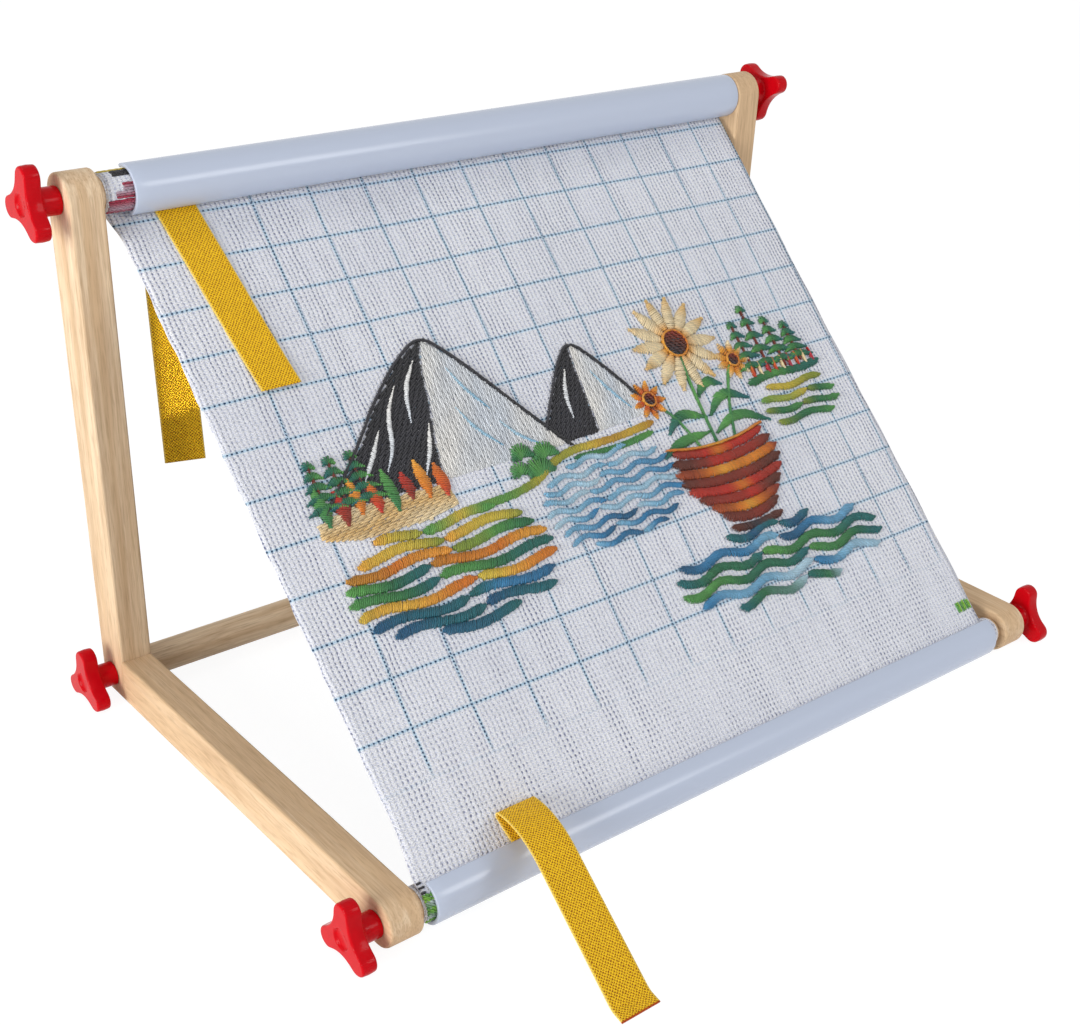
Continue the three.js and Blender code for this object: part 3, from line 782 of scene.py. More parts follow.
def bottomStrapPath():
    # from under the clip, out at its upper lip, a tight fold, an arch over the clip, then a
    # slope down until the cut end lies on the table
    facts = strap["bottom"]
    lift, slope = math.radians(facts["lift"]), math.radians(facts["slope"])
    over = strap["thick"] / 2 + facts["clear"]
    hidden = polar(layout["frontAxis"], strap["round"], np.linspace(*facts["hidden"], strap["lyingSteps"]))
    rise = polar(layout["frontAxis"], *facts["riseAt"]) + clothNormal * facts["riseOff"]
    riseEnd = rise - clothDown * facts["rise"]
    fold = turnAround(riseEnd, -clothDown, math.pi - lift - math.atan2(-clothDown[1], -clothDown[0]),
                      facts["fold"])
    arch = turnAround(fold[-1], np.array([-math.cos(lift), math.sin(lift)]), lift + slope, facts["arch"])
    sloping = np.array([-math.cos(slope), -math.sin(slope)])
    settle = facts["settle"] * (1 - math.cos(slope))
    settleStart = arch[-1] + sloping * (arch[-1][1] - settle - over) / math.sin(slope)
    landing = turnAround(settleStart, sloping, -slope, facts["settle"])
    end = [layout["frontAxis"][0] - facts["reach"], over]
    return np.concatenate([hidden, [rise], [riseEnd], fold, arch, [settleStart], landing, [end]])


tape = strapTape()
makeStrap("topPullStrap", topStrapPath(), strap["top"], "stand", "top_strap")
makeStrap("bottomPullStrap", bottomStrapPath(), strap["bottom"], "bottom_clamp", "bottom_strap")
print("straps made")


def evenweave():
    # Ribbed evenweave cotton: cool white ribs 3 mm apart with short grey-blue painted shadows
    # between their threads and painted shade on their low relief, an open net towards the foot,
    # and ruled lines of pale blue ink, painted darker as shade where they cross a gap. Dull and
    # soft, with no shine. The ribs are a cosine across, the shadows a cosine down each groove
    # with a phase of its own, and noise frays them all.
    material, tree, shader = newMaterial("ribbedEvenweaveCotton")
    turn = 2 * math.pi
    pitch = cloth["ribPitch"]
    flat = addNode(tree, "UVMap", uv_map="flat")
    wander = addNode(tree, "TexNoise", {"Vector": flat, "Scale": 0.09, "Detail": 3.0})
    shifted = addNode(tree, "VectorMath", {0: wander.outputs[1], 1: (3.2, 2.2, 0.0), 2: flat},
                      "MULTIPLY_ADD")
    axes = addNode(tree, "SeparateXYZ", {0: shifted})
    x, s = axes.outputs[0], axes.outputs[1]
    fuzz = addNode(tree, "TexNoise", {"Vector": flat, "Scale": 0.7, "Detail": 3.0, "Roughness": 0.75})
    fluff = addNode(tree, "Math", (fuzz, 3.4, -1.7), "MULTIPLY_ADD")

    def wave(length, phase):
        # the cosine of the distance down the cloth, which repeats over a length in mm
        turns = addNode(tree, "Math", (s, turn / length, phase), "MULTIPLY_ADD")
        return addNode(tree, "Math", (turns,), "COSINE")

    # ribs, and the strands that slant to and fro over them
    acrossTurn = addNode(tree, "Math", (x, turn / pitch), "MULTIPLY")
    rib = addNode(tree, "Math", (acrossTurn,), "COSINE")
    slant = addNode(tree, "Math", (x, pitch / 2), "PINGPONG")
    slantTurn = addNode(tree, "Math", (slant, 2.4), "MULTIPLY")
    softRelief = addNode(tree, "Math", (fluff, 0.62), "MULTIPLY")
    strandRelief = addNode(tree, "Math", (wave(1.7, slantTurn), 0.3, softRelief), "MULTIPLY_ADD")
    relief = addNode(tree, "Math", (rib, 0.22, strandRelief), "MULTIPLY_ADD")

    # gaps in the grooves: short and uneven above, a more even net near the foot
    nearFoot = addNode(tree, "MapRange", (s, 270.0, 345.0), "SMOOTHSTEP")
    groove = addNode(tree, "Math", (x, pitch), "DIVIDE")
    grooveNumber = addNode(tree, "Math", (groove,), "FLOOR")
    ownPhase = addNode(tree, "TexWhiteNoise", {"W": grooveNumber}, noise_dimensions="1D")
    uneven = addNode(tree, "MapRange", (nearFoot, 0, 1, 6.9, 1.3))
    phase = addNode(tree, "Math", (ownPhase, uneven), "MULTIPLY")
    closeDash = addNode(tree, "Math", (wave(2.6, phase), 0.34, 0.72), "MULTIPLY_ADD")
    streaks = addNode(tree, "Mapping", {"Vector": flat, "Scale": (0.11, 0.012, 1.0)})
    loose = addNode(tree, "TexNoise", {"Vector": streaks, "Scale": 1.0, "Detail": 3.0})
    looseness = addNode(tree, "MapRange", (loose, 0.4, 0.66, 0.55, 1.15))
    closeGap = addNode(tree, "Math", (closeDash, looseness), "MULTIPLY")
    openDash = addNode(tree, "Math", (wave(3.3, phase), 0.36, 0.54), "MULTIPLY_ADD")
    openGap = addNode(tree, "Math", (openDash, looseness), "MULTIPLY")
    gap = addNode(tree, "Mix", {0: nearFoot, 2: closeGap, 3: openGap})
    frayed = addNode(tree, "Math", (fluff, 0.3, rib), "MULTIPLY_ADD")
    grooveEdge = addNode(tree, "MapRange", (nearFoot, 0, 1, -0.42, -0.2))
    between = addNode(tree, "MapRange", (frayed, grooveEdge, -1.0), "SMOOTHSTEP")
    furrow = addNode(tree, "Math", (between, gap), "MULTIPLY")
    weave = addNode(tree, "Math", (furrow, -1.2, relief), "MULTIPLY_ADD")

    # colours: threads with painted shade on their low relief, painted shadow in the gaps, and a
    # slow faint greying
    # painted shade: the threads turn grey-blue where their relief sinks
    threadShade = addNode(tree, "MapRange", (relief, 0.35, -0.9), "SMOOTHSTEP")
    thread = addNode(tree, "Mix", {0: threadShade, 6: "#FDFDFF", 7: "#D6DAF0"}, "RGBA")
    # painted shadow in the gaps between the threads
    gapShadow = addNode(tree, "MapRange", (furrow, 0.25, 1.05), "SMOOTHSTEP")
    woven = addNode(tree, "Mix", {0: gapShadow, 6: thread, 7: "#6E749A"}, "RGBA")
    # a slow, faint greying in broad patches
    slowNoise = addNode(tree, "TexNoise", {"Vector": flat, "Scale": 0.012, "Detail": 2.0})
    greying = addNode(tree, "MapRange", (slowNoise, 0.35, 0.75, 0, 0.3))
    ground = addNode(tree, "Mix", {0: greying, 6: woven, 7: "#DEE1EE"}, "RGBA")

    # ruled lines: distance in mm to the nearest whole number of the ruling UV
    ruling = addNode(tree, "UVMap", uv_map="ruling")
    rule = addNode(tree, "SeparateXYZ", {0: ruling})
    distances = []
    for count, spacing in ((rule.outputs[0], cloth["ruleMean"]), (rule.outputs[1], cloth["ruleStep"])):
        onward = addNode(tree, "Math", (count, 0.5), "ADD")
        part = addNode(tree, "Math", (onward,), "FRACT")
        off = addNode(tree, "Math", (part, spacing, -0.5 * spacing), "MULTIPLY_ADD")
        distances.append(addNode(tree, "Math", (off,), "ABSOLUTE"))
    nearest = addNode(tree, "Math", (distances[0], distances[1]), "MINIMUM")
    fraying = addNode(tree, "Math", (fluff, 3.0, s), "MULTIPLY_ADD")
    fade = addNode(tree, "MapRange", (fraying, cloth["ruleFoot"], cloth["ruleFoot"] - 10))
    inkEdge = addNode(tree, "Math", (fluff, 0.25, nearest), "MULTIPLY_ADD")
    halo = addNode(tree, "MapRange", (inkEdge, 1.8, 0.4, 0, 0.5), "SMOOTHSTEP")
    core = addNode(tree, "MapRange", (inkEdge, 0.75, 0.25), "SMOOTHSTEP")
    # painted shade on the ink: darker where a level line crosses a groove, and in dashes down an
    # upright one, where the gaps lie in shade
    inGroove = addNode(tree, "MapRange", (rib, 0.15, -0.7), "SMOOTHSTEP")
    inDash = addNode(tree, "MapRange", (wave(2.3, phase), -0.45, 0.25), "SMOOTHSTEP")
    isUpright = addNode(tree, "Math", (distances[0], distances[1]), "LESS_THAN")
    inkShade = addNode(tree, "Mix", {0: isUpright, 2: inGroove, 3: inDash})
    inkShadeStrength = addNode(tree, "MapRange", (inkShade, 0, 1, 0.4))
    ink = addNode(tree, "Mix", {0: inkShade, 6: "#8FC0DF", 7: "#143C64"}, "RGBA")
    haloShare = addNode(tree, "Math", (halo, fade), "MULTIPLY")
    inked = addNode(tree, "Math", (core, inkShadeStrength), "MULTIPLY")
    coreShare = addNode(tree, "Math", (inked, fade), "MULTIPLY")
    haloed = addNode(tree, "Mix", {0: haloShare, 6: ground, 7: "#BCE0F4"}, "RGBA")
    ruled = addNode(tree, "Mix", {0: coreShare, 6: haloed, 7: ink}, "RGBA")
    bump = addNode(tree, "Bump", {"Height": weave, "Strength": 1.0, "Distance": 0.0005})
    setInputs(shader, {
        "Base Color": ruled, "Normal": bump, "Roughness": 0.92, "Specular IOR Level": 0.2})
    return material


def rulingCount(x, s):
    # how many ruled lines lie before a point, each way. Upright line n lies at ruleFirst plus
    # rulePitch n less ruleShrink n squared, and leans a little to the left on its way down; the
    # level ones are ruleStep apart. Both waver as a slow sine.
    pitch, shrink = cloth["rulePitch"], cloth["ruleShrink"]
    past = x + layout["outerFace"] + cloth["ruleLean"] * s - cloth["ruleFirst"]
    upright = (pitch - np.sqrt(pitch ** 2 - 4 * shrink * past)) / (2 * shrink)
    level = (s + 0.35 * np.sin(x / 40.0) - cloth["ruleTop"]) / cloth["ruleStep"]
    # held at a count that isn't whole, no line shows on the margins
    upright = np.clip(upright + 0.012 * np.sin(s / 23.0), -1.5, None)
    return np.stack([upright, np.clip(level, -0.4, None)], -1)


def makeCloth():
    # a grid over x and s, once on each face, joined round all four edges, which waver by
    # fractions of a millimetre
    bends = np.arange(clothAt[0], 0, cloth["bent"])
    straight = np.linspace(0, clothRun, int(clothRun / cloth["along"]))
    foot = np.arange(clothRun + cloth["bent"], clothAt[-1], cloth["bent"])
    s = np.concatenate([bends, straight, foot])
    share = np.clip(s / clothRun, 0, 1)[:, None]
    left, right = [head + (foot - head) * share for head, foot in (cloth["leftEdge"], cloth["rightEdge"])]
    before, over = cloth["flare"]
    onRoll = 1 - np.clip((np.minimum(s, clothRun - s) + before) / over, 0, 1)[:, None]
    left = left + (cloth["rollEdge"] - left) * onRoll ** 2 * (3 - 2 * onRoll)
    left = left + 0.35 * np.sin(s / 7.0)[:, None] + 0.2 * np.sin(s / 2.9)[:, None]
    right = right + 0.3 * np.sin(s / 8.3 + 2)[:, None]
    columns = int((right[0, 0] - left[0, 0]) / cloth["across"])
    x = left + (right - left) * np.linspace(0, 1, columns + 1)
    front = onCloth(x, s[:, None], cloth["thick"] / 2)
    back = onCloth(x, s[:, None], -cloth["thick"] / 2)
    loop = np.concatenate([front, back[:, ::-1]], 1)
    rows, around = loop.shape[:2]
    flat = np.stack(np.broadcast_arrays(np.concatenate([x, x[:, ::-1]], 1), s[:, None]), -1)
    mesh = buildMesh("stretchedCloth", loop * mm, sheetFaces(rows, around),
                     {"flat": flat, "ruling": rulingCount(flat[..., 0], flat[..., 1])})
    return place("stretchedCloth", mesh, cotton, "stand", "cloth", "cloth_panel")


def makeClothRoll(where, axisName):
    # the cloth under the outer layer: a spiral of a little more than a turn that draws in slowly
    turn = np.linspace(0, cloth["innerTurns"], cloth["innerPoints"])
    radius = cloth["innerRadius"] - cloth["innerDrop"] * turn
    angle = cloth["innerFrom"] - 360 * turn
    sides = [polar(layout[axisName], radius + sign * cloth["innerThick"] / 2, angle) for sign in (1, -1)]
    loop = np.concatenate([sides[0], sides[1][::-1]])
    left = np.array(cloth["innerRows"]) - cloth["innerHalf"]
    x = np.concatenate([left, [0], -left[::-1]])
    points = np.concatenate([np.broadcast_to(x[:, None, None], (len(x), len(loop), 1)),
                             np.broadcast_to(loop, (len(x), len(loop), 2))], -1)
    run = lengthsAlong(polar(layout[axisName], radius, angle))
    flat = np.stack(np.broadcast_arrays(x[:, None], np.concatenate([run, run[::-1]])[None, :]), -1)
    mesh = buildMesh(where + "InnerRoll", points * mm, sheetFaces(len(x), len(loop)),
                     {"flat": flat, "ruling": flat * 0 + 0.5})
    piece = place(where + "InnerRoll", mesh, cotton, where + "_scroll", "cloth", where + "_cloth_roll")


cotton = evenweave()
stretched = makeCloth()
makeClothRoll("top", "topAxis")
makeClothRoll("bottom", "frontAxis")
print("cloth made")

stitch = {
    "pitch": 1.25,      # from one satin stitch to the next
    "width": 1.5,
    "stem": 1.3,        # half a stem stitch's length
    "stemWidth": 1.35,
    "behindLift": 0.3,  # how far a stitch stands off the back, as a share of the front
    "seed": 7,
    # five rings along a stitch: where each lies, how thick it is and how far it stands off
    "rings": np.array([
        (0.0, 0.5, -0.3), (0.12, 0.9, 0.62), (0.5, 1.0, 1.0), (0.88, 0.9, 0.62), (1.0, 0.5, -0.3)]),
    "section": np.array([(-1.0, 0.0), (0.0, 1.0), (1.0, 0.0), (0.0, -0.8)]),   # a ring's corners
    "flat": 0.8,           # a stitch's height over its width
    "strandShift": 13.7,   # from one stitch's strands to the next one's
}

threads = {
    "black": "#1B1A1E", "coal": "#2B2A31", "white": "#F3F0EA", "ice": "#DDE3EA", "cream": "#F1DDB4",
    "sand": "#E3BC7A", "orange": "#DC7D22", "amber": "#E9A63A", "red": "#C5301F", "rust": "#8E2F1A",
    "brown": "#5F2A18", "teal": "#1C6A6C", "deep": "#1F5B80", "blue": "#3C86B4", "sky": "#83B9D6",
    "pale": "#BBD8E6", "green": "#2A7045", "leaf": "#5B9E4C", "lime": "#93CC3E", "olive": "#8F9B35",
    "yellow": "#D8BE45", "ochre": "#BF8427", "crimson": "#A51B3E", "mauve": "#B79AA8",
}

chance = np.random.default_rng(stitch["seed"])
sewn = []


def threadColour(names, share):
    # the colours of the named threads in a row, blended along share from 0 to 1
    stops = np.array([linearColour(threads[n])[:3] for n in names.split()])
    at = np.clip(share, 0, 1) * (len(stops) - 1)
    mixed = np.stack([np.interp(at, np.arange(len(stops)), stops[:, c]) for c in range(3)], -1)
    return mixed * (1 + 0.07 * chance.standard_normal(len(at)))[:, None].clip(0.75, 1.2)


def sew(start, end, width, lift, colours):
    # keeps a run of stitches, from start to end in the drawing's u, which counts from the left
    # upright's outer face, and s
    count = len(start)
    wobble = chance.normal(0, 0.12, (count, 2))
    sewn.append((start + wobble, end + wobble[::-1], np.broadcast_to(width, count) * 1.0,
                 np.broadcast_to(lift, count) * 1.0, np.clip(colours, 0, 1)))


def rounded(points, times):
    # Chaikin's rule: every corner is cut at a quarter and three quarters of its sides
    line = np.asarray(points, float)
    for _ in range(times):
        cut = np.stack([line[:-1] * 0.75 + line[1:] * 0.25, line[:-1] * 0.25 + line[1:] * 0.75], 1)
        line = np.concatenate([line[:1], cut.reshape(-1, 2), line[-1:]])
    return line


def satinBand(points, width, colours, shape="band", lean=18.0, lift=1.0, smooth=3):
    # stitches side by side across a line, each turned by the lean; a band keeps its width and
    # rounds off at its ends, a leaf swells as the sine of the share along it
    line, run = evenSteps(rounded(points, smooth), stitch["pitch"])
    along = headings(line)
    turned = leftOf(along) * math.cos(math.radians(lean)) + along * math.sin(math.radians(lean))
    share = run / run[-1]
    if shape == "leaf":
        half = width / 2 * np.clip(np.sin(math.pi * share), 0.15, 1) ** 0.7
    else:
        half = width / 2 * np.sqrt(np.clip(np.minimum(share, 1 - share) * run[-1] / (0.6 * width), 0.15, 1))
    half = (half * (1 + 0.06 * chance.standard_normal(len(line))))[:, None]
    drift = 0.12 * np.sin(run / 9.0 + chance.uniform(0, 6))
    shades = threadColour(colours, share + drift)
    sew(line - turned * half, line + turned * half, stitch["width"], lift, shades)


def ropeLine(points, colours, width, lift, smooth=2):
    # stem stitch: short slanting stitches that overlap along a line
    line, run = evenSteps(rounded(points, smooth), stitch["pitch"])
    along = headings(line)
    side = leftOf(along) * width * 0.32
    half = along * stitch["stem"] + side
    sew(line - half, line + half, stitch["stemWidth"], lift, threadColour(colours, run / run[-1]))


def satinFill(outline, direction, colours, lift, longest, smooth=0):
    # rows in a direction, in degrees, across a closed outline: each row is cut where it crosses
    # the edges, and rows over the longest stitch are split, with joints that step row by row
    corner = np.asarray(outline, float)
    if smooth:
        corner = rounded(np.concatenate([corner, corner[:1]]), smooth)[:-1]
    angle = math.radians(direction)
    turn = np.array([[math.cos(angle), -math.sin(angle)], [math.sin(angle), math.cos(angle)]])
    local = corner @ turn
    after = np.roll(local, -1, 0)
    rows = np.arange(local[:, 1].min() + stitch["pitch"] / 2, local[:, 1].max(), stitch["pitch"])
    y = rows[:, None]
    rise = np.where(after[:, 1] == local[:, 1], 1e-9, after[:, 1] - local[:, 1])
    crossing = local[:, 0] + (y - local[:, 1]) / rise * (after[:, 0] - local[:, 0])
    crossing = np.where((local[:, 1] <= y) != (after[:, 1] <= y), crossing, np.inf)
    crossing = np.sort(crossing, 1)[:, :2 * (crossing.shape[1] // 2)].reshape(len(rows), -1, 2)
    row, pair = np.nonzero(np.isfinite(crossing[..., 1]))
    span = crossing[row, pair] + chance.normal(0, 0.25, (len(row), 2))
    phase = (row * 0.37) % 1   # that step, in stitches
    first = np.floor(span[:, 0] / longest - phase)
    count = (np.floor(span[:, 1] / longest - phase) - first + 1).astype(int).clip(1)
    which = np.repeat(np.arange(len(row)), count)
    step = np.arange(count.sum()) - np.repeat(np.cumsum(count) - count, count)
    low = np.maximum((first[which] + step + phase[which]) * longest, span[which, 0])
    high = np.minimum((first[which] + step + 1 + phase[which]) * longest, span[which, 1])
    keep = high - low > 0.5
    which, low, high = which[keep], low[keep], high[keep]
    level = rows[row[which]]
    back = turn.T
    share = (level - rows[0]) / max(np.ptp(rows), 1e-6)
    share = share + 0.08 * np.sin(low / 7 + level / 5)
    sew(np.stack([low - 0.3, level], -1) @ back, np.stack([high + 0.3, level], -1) @ back,
        stitch["width"], lift, threadColour(colours, share))


def stitchMesh(name, side, mirror, shift, lifted=1.0):
    # each stitch sewn so far is a closed tube with four sides and five rings: it comes up out of
    # the cloth, rounds over and goes down again, with its colour in an attribute
    start, end, width, lift, colours = [np.concatenate(part) for part in zip(*sewn)]
    if mirror is not None:
        start, end = [np.column_stack([mirror - p[:, 0], p[:, 1]]) for p in (start, end)]
    start, end, lift = start + np.array(shift), end + np.array(shift), lift * lifted
    (at, thick, rise), ring = stitch["rings"].T, stitch["section"]
    along = end - start
    length = np.linalg.norm(along, axis=1)
    across = leftOf(along) / length[:, None]
    middle = start[:, None] + along[:, None] * at[None, :, None]
    half = width[:, None] / 2 * thick
    flatPlace = middle[:, :, None] + across[:, None, None] * (half[:, :, None] * ring[:, 0])[..., None]
    swollen = half[:, :, None] * stitch["flat"] * ring[:, 1]
    height = cloth["thick"] / 2 + (lift[:, None] * rise)[:, :, None] + swollen
    points = onCloth(flatPlace[..., 0] - layout["outerFace"], flatPlace[..., 1], height * side)
    count, corners = points.shape[1:3]
    first, last = [3, 2, 1, 0], [16, 17, 18, 19]   # the closed ends
    shape = np.concatenate([gridFaces(count, corners), [first, last]])
    order = np.arange(len(start))[:, None, None]
    faces = (shape[None] + count * corners * order).reshape(-1, 4)
    u = np.broadcast_to((length[:, None] * at)[:, :, None], points.shape[:3])
    u = u + stitch["strandShift"] * order
    v = np.broadcast_to(np.array([0.0, 1.0, 2.0, 1.0]), points.shape[:3])
    rgb = np.broadcast_to(colours[:, None, None], (*points.shape[:3], 3))
    mesh = buildMesh(name, points * mm, faces, {"strand": np.stack([u, v], -1)}, rgb)
    print(name, len(start), "stitches")
    return place(name, mesh, floss, "stand", "cloth")


def strandedCotton():
    # Six-strand mercerised cotton: rich dyed colour with a silky shine, the strands showing as
    # fine slanting lines along each stitch, painted as shade between the strands and highlight on them.
    material, tree, shader = newMaterial("strandedCotton")
    dyed = addNode(tree, "VertexColor", layer_name="thread")
    lengthways = addNode(tree, "UVMap", uv_map="strand")
    axes = addNode(tree, "SeparateXYZ", {0: lengthways})
    around = addNode(tree, "Math", (axes.outputs[1], 5.0), "MULTIPLY")
    twist = addNode(tree, "Math", (axes.outputs[0], 2.6, around), "MULTIPLY_ADD")
    lines = addNode(tree, "Math", (twist,), "SINE")
    # painted shade between the strands and painted highlight on them, along the twist
    share = addNode(tree, "MapRange", (lines, -1.0, 1, 0.72, 1.08))
    strandShaded = addNode(tree, "Mix", {0: 1.0, 6: dyed, 7: share}, "RGBA", blend_type="MULTIPLY")
    bump = addNode(tree, "Bump", {"Height": lines, "Strength": 0.5, "Distance": 0.00012})
    setInputs(shader, {
        "Base Color": strandShaded, "Normal": bump, "Roughness": 0.42, "Specular IOR Level": 0.45,
        "Sheen Weight": 0.12})
    return material


floss = strandedCotton()


def wavyBands(u, s, width, count, narrow, palette, wave, seed):
    # level bands one below the other, each a sine wave of the given height and length;
    # together they fill a lens, long ones are cut in two, and the colours go down in their order
    dice = np.random.default_rng(seed)
    colours = palette.split("/")
    for i in range(count):
        share = i / max(count - 1, 1)
        inset = narrow * (1 - math.sqrt(1 - 0.92 * (2 * share - 1) ** 2))
        first, last = u[0] + inset * dice.uniform(0.7, 1.3), u[1] - inset * dice.uniform(0.7, 1.3)
        cut = first + (last - first) * dice.uniform(0.3, 0.7)
        parts = ((first, cut - 1), (cut + 1, last)) if last - first > 55 else ((first, last),)
        for k, (a, b) in enumerate(parts):
            x = np.linspace(a, b, max(int((b - a) / 3), 4))
            ripple = wave[0] * np.sin(2 * math.pi * (x / wave[1] + 0.13 * i))
            y = s[0] + (s[1] - s[0]) * share + ripple + 0.8 * k
            tone = colours[min(int(share * len(colours)) + dice.integers(0, 2) * k, len(colours) - 1)]
            satinBand(np.column_stack([x, y]), width, tone, lift=1.6, smooth=1)


def sewMountains():
    # the snowy peak with its dark side, and the smaller one behind it
    satinFill([(325, 119), (311, 134), (299, 151), (284, 173), (263, 204), (352, 204), (346, 180),
               (338, 158), (333, 138)], 84, "white ice white", 0.5, 12)
    satinFill([(326, 119), (346, 129), (372, 151), (392, 172), (428, 203), (353, 204), (347, 180),
               (339, 157), (334, 137)], 34, "black coal black", 0.8, 10)
    satinFill([(228, 143), (214, 161), (201, 182), (193, 200), (236, 203), (233, 180), (231, 160)], 80,
              "white ice white", 0.5, 12)
    satinFill([(229, 143), (244, 158), (257, 175), (270, 192), (262, 203), (237, 203), (234, 180),
               (232, 160)], 40, "black coal black", 0.8, 9)
    ropeLine([(260, 206), (284, 172), (299, 149), (311, 132), (325, 116), (346, 127), (373, 149), (393, 170),
              (431, 204)], "black coal black", 2.4, 1.6)
    ropeLine([(190, 202), (200, 181), (213, 160), (228, 141), (245, 157), (258, 174), (272, 192)],
             "black coal", 2.2, 1.5)
    for line in ([(337, 131), (350, 146), (356, 166)], [(356, 143), (368, 158), (374, 178), (384, 190)],
                 [(378, 166), (389, 180), (400, 192)], [(346, 170), (352, 184), (362, 198)],
                 [(240, 160), (248, 175), (250, 190)]):
        satinBand(line, 3.6, "white ice", "leaf", lift=1.5)
    for line in ([(318, 140), (312, 156), (303, 170)], [(324, 165), (318, 180), (306, 194)],
                 [(300, 180), (292, 192), (280, 200)], [(222, 165), (215, 180), (206, 194)]):
        satinBand(line, 2.8, "pale sky", "leaf", lift=1.0)


def sewShore():
    # autumn trees, shrubs and pines, a cream field, bright banks and water beside them
    satinFill([(352, 206), (438, 203), (440, 222), (350, 224)], 8, "cream sand cream", 0.6, 8, 1)
    for i, u in enumerate(range(350, 436, 11)):
        satinBand([(u + 5, 213 - (i % 3) * 2), (u + 4, 202), (u + 5, 193 - (i % 2) * 5)], 10,
                  ["red orange", "orange amber", "rust red", "green leaf"][i % 4], "leaf", 20, 1.5)
    for u, s, size in ((281, 205, 17), (297, 202, 15), (289, 214, 19), (303, 212, 13)):
        satinBand([(u - size / 2, s + 3), (u, s - 3), (u + size / 2, s + 3)], size * 0.8,
                  "green leaf green", "leaf", 12, 1.6)
    for u in (402, 416, 429):
        sewPine(u, 205, 34)
    wavyBands((304, 442), (227, 286), 6.6, 9, 50, "leaf yellow leaf/olive yellow amber/green leaf olive/"
              "amber orange ochre/teal green leaf/orange amber yellow/deep blue teal/teal deep",
              (1.8, 60.0), 3)
    wavyBands((196, 300), (217, 268), 3.8, 9, 34,
              "sky pale sky/blue sky/pale sky/blue sky pale/deep blue sky", (1.7, 26.0), 5)
    satinBand([(196, 207), (232, 210), (270, 208), (300, 224), (348, 225)], 5.5,
              "ochre yellow olive leaf", lift=1.1)
    satinBand([(200, 213), (228, 216), (262, 214)], 4.5, "leaf green", lift=1.0)


def sewPine(u, foot, tall):
    # a trunk and five drooping tiers, wider towards the foot
    satinBand([(u, foot - tall * 0.9), (u, foot)], 2.2, "brown rust", lift=0.9)
    for i in range(5):
        s = foot - tall * (0.94 - 0.19 * i)
        wide = 3.5 + 2.1 * i
        satinBand([(u - wide, s + 3.6), (u, s), (u + wide, s + 3.6)], 5.6, "leaf green teal", "leaf", 10,
                  1.3 + 0.1 * i)


def sewPineBank():
    # four pines and a row of shrubs on a green bank, with its reflection below
    for u, foot, tall in ((66, 190, 40), (80, 192, 52), (95, 190, 38), (110, 189, 30)):
        sewPine(u, foot, tall)
    for i, u in enumerate(range(64, 122, 7)):
        tones = ["red orange", "cream sand", "crimson red"][i % 3]
        satinBand([(u, 192), (u, 183)], 5.2, tones, "leaf", 65, 1.6)
    satinBand([(56, 196), (80, 192), (104, 195), (124, 192)], 6.5, "green leaf green teal", lift=1.3)
    wavyBands((58, 126), (203, 226), 5.4, 4, 12, "yellow olive/leaf yellow/olive green leaf", (1.3, 40.0), 9)


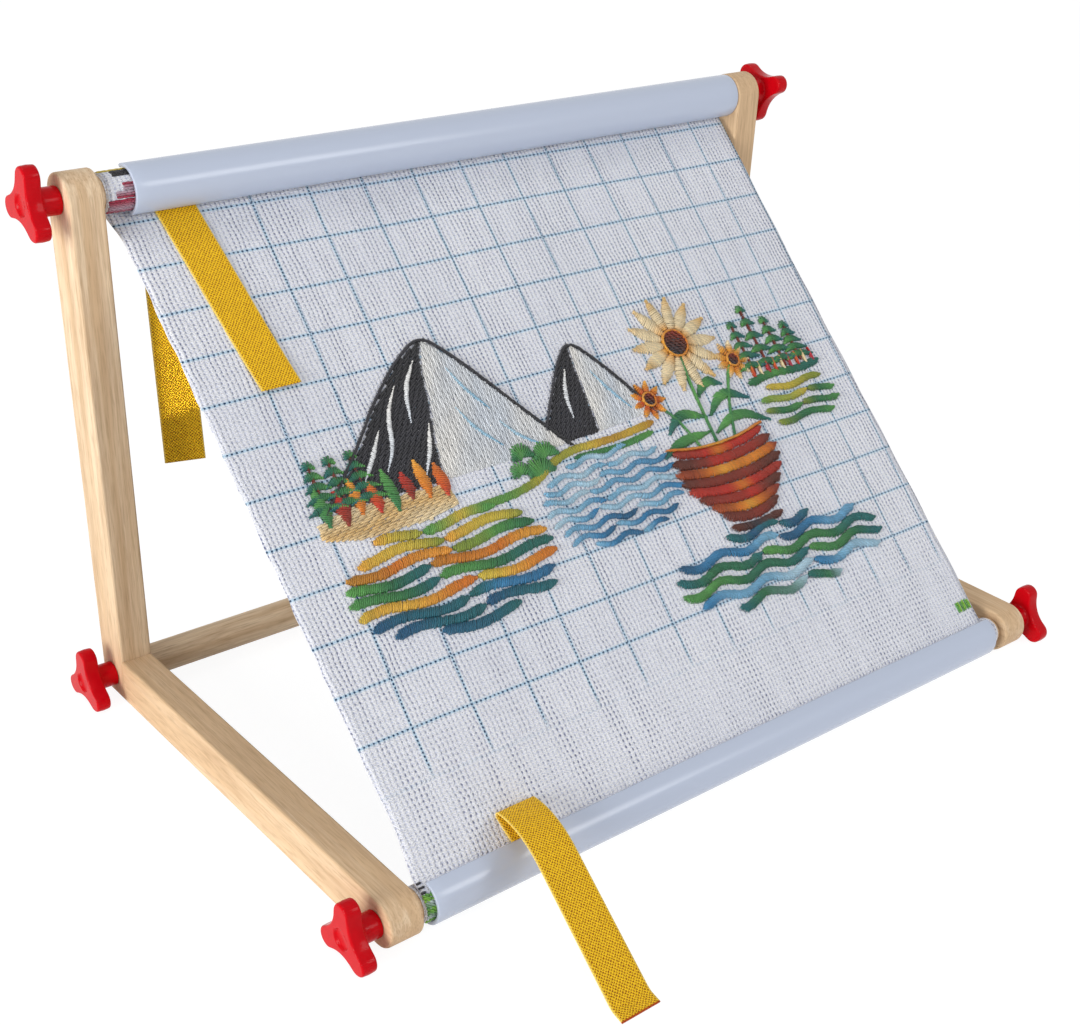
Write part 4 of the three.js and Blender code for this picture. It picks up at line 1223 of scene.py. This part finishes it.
def sewFlowers():
    # a big daisy and two small ones over leaves, in a red bowl with a foot
    ropeLine([(150, 166), (146, 195), (144, 232)], "green leaf green", 3.0, 1.2)
    ropeLine([(183, 186), (170, 206), (160, 232)], "leaf green", 2.4, 1.2)
    ropeLine([(113, 196), (124, 212), (130, 232)], "green leaf", 2.4, 1.2)
    for line in ([(146, 214), (128, 206), (112, 218)], [(150, 214), (168, 200), (186, 210)],
                 [(148, 226), (172, 216), (194, 228)], [(142, 224), (120, 224), (100, 232)],
                 [(148, 200), (160, 190), (170, 196)]):
        satinBand(line, 8.5, "green leaf green teal", "leaf", 30, 1.1)
    turns = np.linspace(0, 2 * math.pi, 25)[:-1]
    for u, s, petals, inner, outer, tones in (
            (150, 162, 14, 7.0, 33.0, "amber cream cream sand"),
            (188, 183, 9, 3.5, 13.5, "orange amber cream"),
            (109, 193, 9, 3.5, 12.5, "red orange amber")):
        for i in range(petals):
            angle = 2 * math.pi * (i + 0.2) / petals
            ray = np.array([math.cos(angle), math.sin(angle)])
            satinBand([np.array([u, s]) + ray * inner, np.array([u, s]) + ray * outer],
                      2 * math.pi * outer * 0.62 / petals, tones, "leaf", 8, 1.3 + 0.25 * (i % 2), 0)
        disc, rim = [np.column_stack([u + inner * size * np.cos(turns), s + inner * size * np.sin(turns)])
                     for size in (1.25, 1.3)]
        satinFill(disc, 25, "rust brown coal", 2.4, 6)
        ropeLine(rim[[*range(24), 0]], "orange amber orange", 2.0, 2.6, 0)
    for i, wide in enumerate((38, 42, 44, 43, 40, 35, 29, 24)):
        s = 232 + 6.6 * i
        tones = ("rust red orange red rust", "brown rust red rust brown",
                 "rust orange amber orange rust", "brown rust brown")[i % 4]
        satinBand([(144 - wide, s - 1), (144 - wide * 0.5, s + 3.4), (144, s + 4.6),
                   (144 + wide * 0.5, s + 3.4), (144 + wide, s - 1)], 7.2, tones, lean=10, lift=1.8)
    ropeLine([(104, 228), (124, 232), (144, 233), (164, 232), (184, 228)], "orange amber orange", 2.6, 2.6)
    satinBand([(122, 287), (144, 290), (166, 287)], 6, "brown coal brown", lift=1.6)
    wavyBands((62, 238), (293, 333), 6.4, 6, 60, "teal deep teal/deep blue sky/teal green teal/"
              "leaf green teal/blue sky pale/teal green pale", (2.4, 40.0), 13)


def sewBlock(left, right, low, high, *fill):
    # a rectangle of satin stitch
    satinFill([(left, low), (right, low), (right, high), (left, high)], *fill)


def sewRollEnd():
    # the end of some older work, which shows where the roll comes out of its clip
    for left, low, high, colours in (
            (24.2, -23.5, -17, "yellow amber"), (30, -29.5, -24.5, "black coal"),
            (24.2, -52, -41.5, "crimson mauve crimson"), (28.5, -41.4, -37.5, "crimson mauve"),
            (33.5, -37.4, -34, "mauve crimson")):
        sewBlock(left, 41, low, high, 0, colours, 0.2, 3.6)


def sewFootEnd():
    # green stitches on the left end of the foot's roll, with a few black ones over them
    for i, colours in enumerate(("leaf lime", "ice leaf", "lime leaf", "leaf ice", "leaf lime")):
        top = clothRun + 5 + 3.4 * i
        sewBlock(24.4, 30.5, top, top + 3.4, 30, colours, 0.2, 3.4)
    for s in (-2.5, 0.5, 3.0):
        sewBlock(24.6, 27.5, clothRun + s, clothRun + s + 1.2, 0, "coal black", 0.2, 3.0)


def sewFootMarks():
    # three small counting blocks by the right edge
    for i in range(3):
        sewBlock(464 + 4.6 * i, 468.2 + 4.6 * i, 385, 391.5, 90, "lime leaf", 0.5, 8)


# each piece, what sews it, its sides of the cloth (the front is 1), the u it is mirrored about
# and its shift; the picture shows through on the back, flatter
work = [
    ("sewnMountains", sewMountains, (1, -1), 500, (0, 0)),
    ("sewnShore", sewShore, (1, -1), 500, (0, 0)),
    ("sewnPineBank", sewPineBank, (1, -1), None, (336, 6)),
    ("sewnFlowers", sewFlowers, (1, -1), None, (200, 0)),
    ("sewnFootMarks", sewFootMarks, (1,), None, (0, 0)),
    ("sewnRollEnd", sewRollEnd, (-1,), None, (0, 0)),
    ("sewnFootEnd", sewFootEnd, (1,), None, (0, 0)),
]
for name, job, sides, mirror, shift in work:
    job()
    stitchMesh(name, sides[0], mirror, shift)
    if len(sides) == 2:
        stitchMesh(name + "Behind", sides[1], mirror, shift, stitch["behindLift"])
    sewn.clear()
print("stitches made")
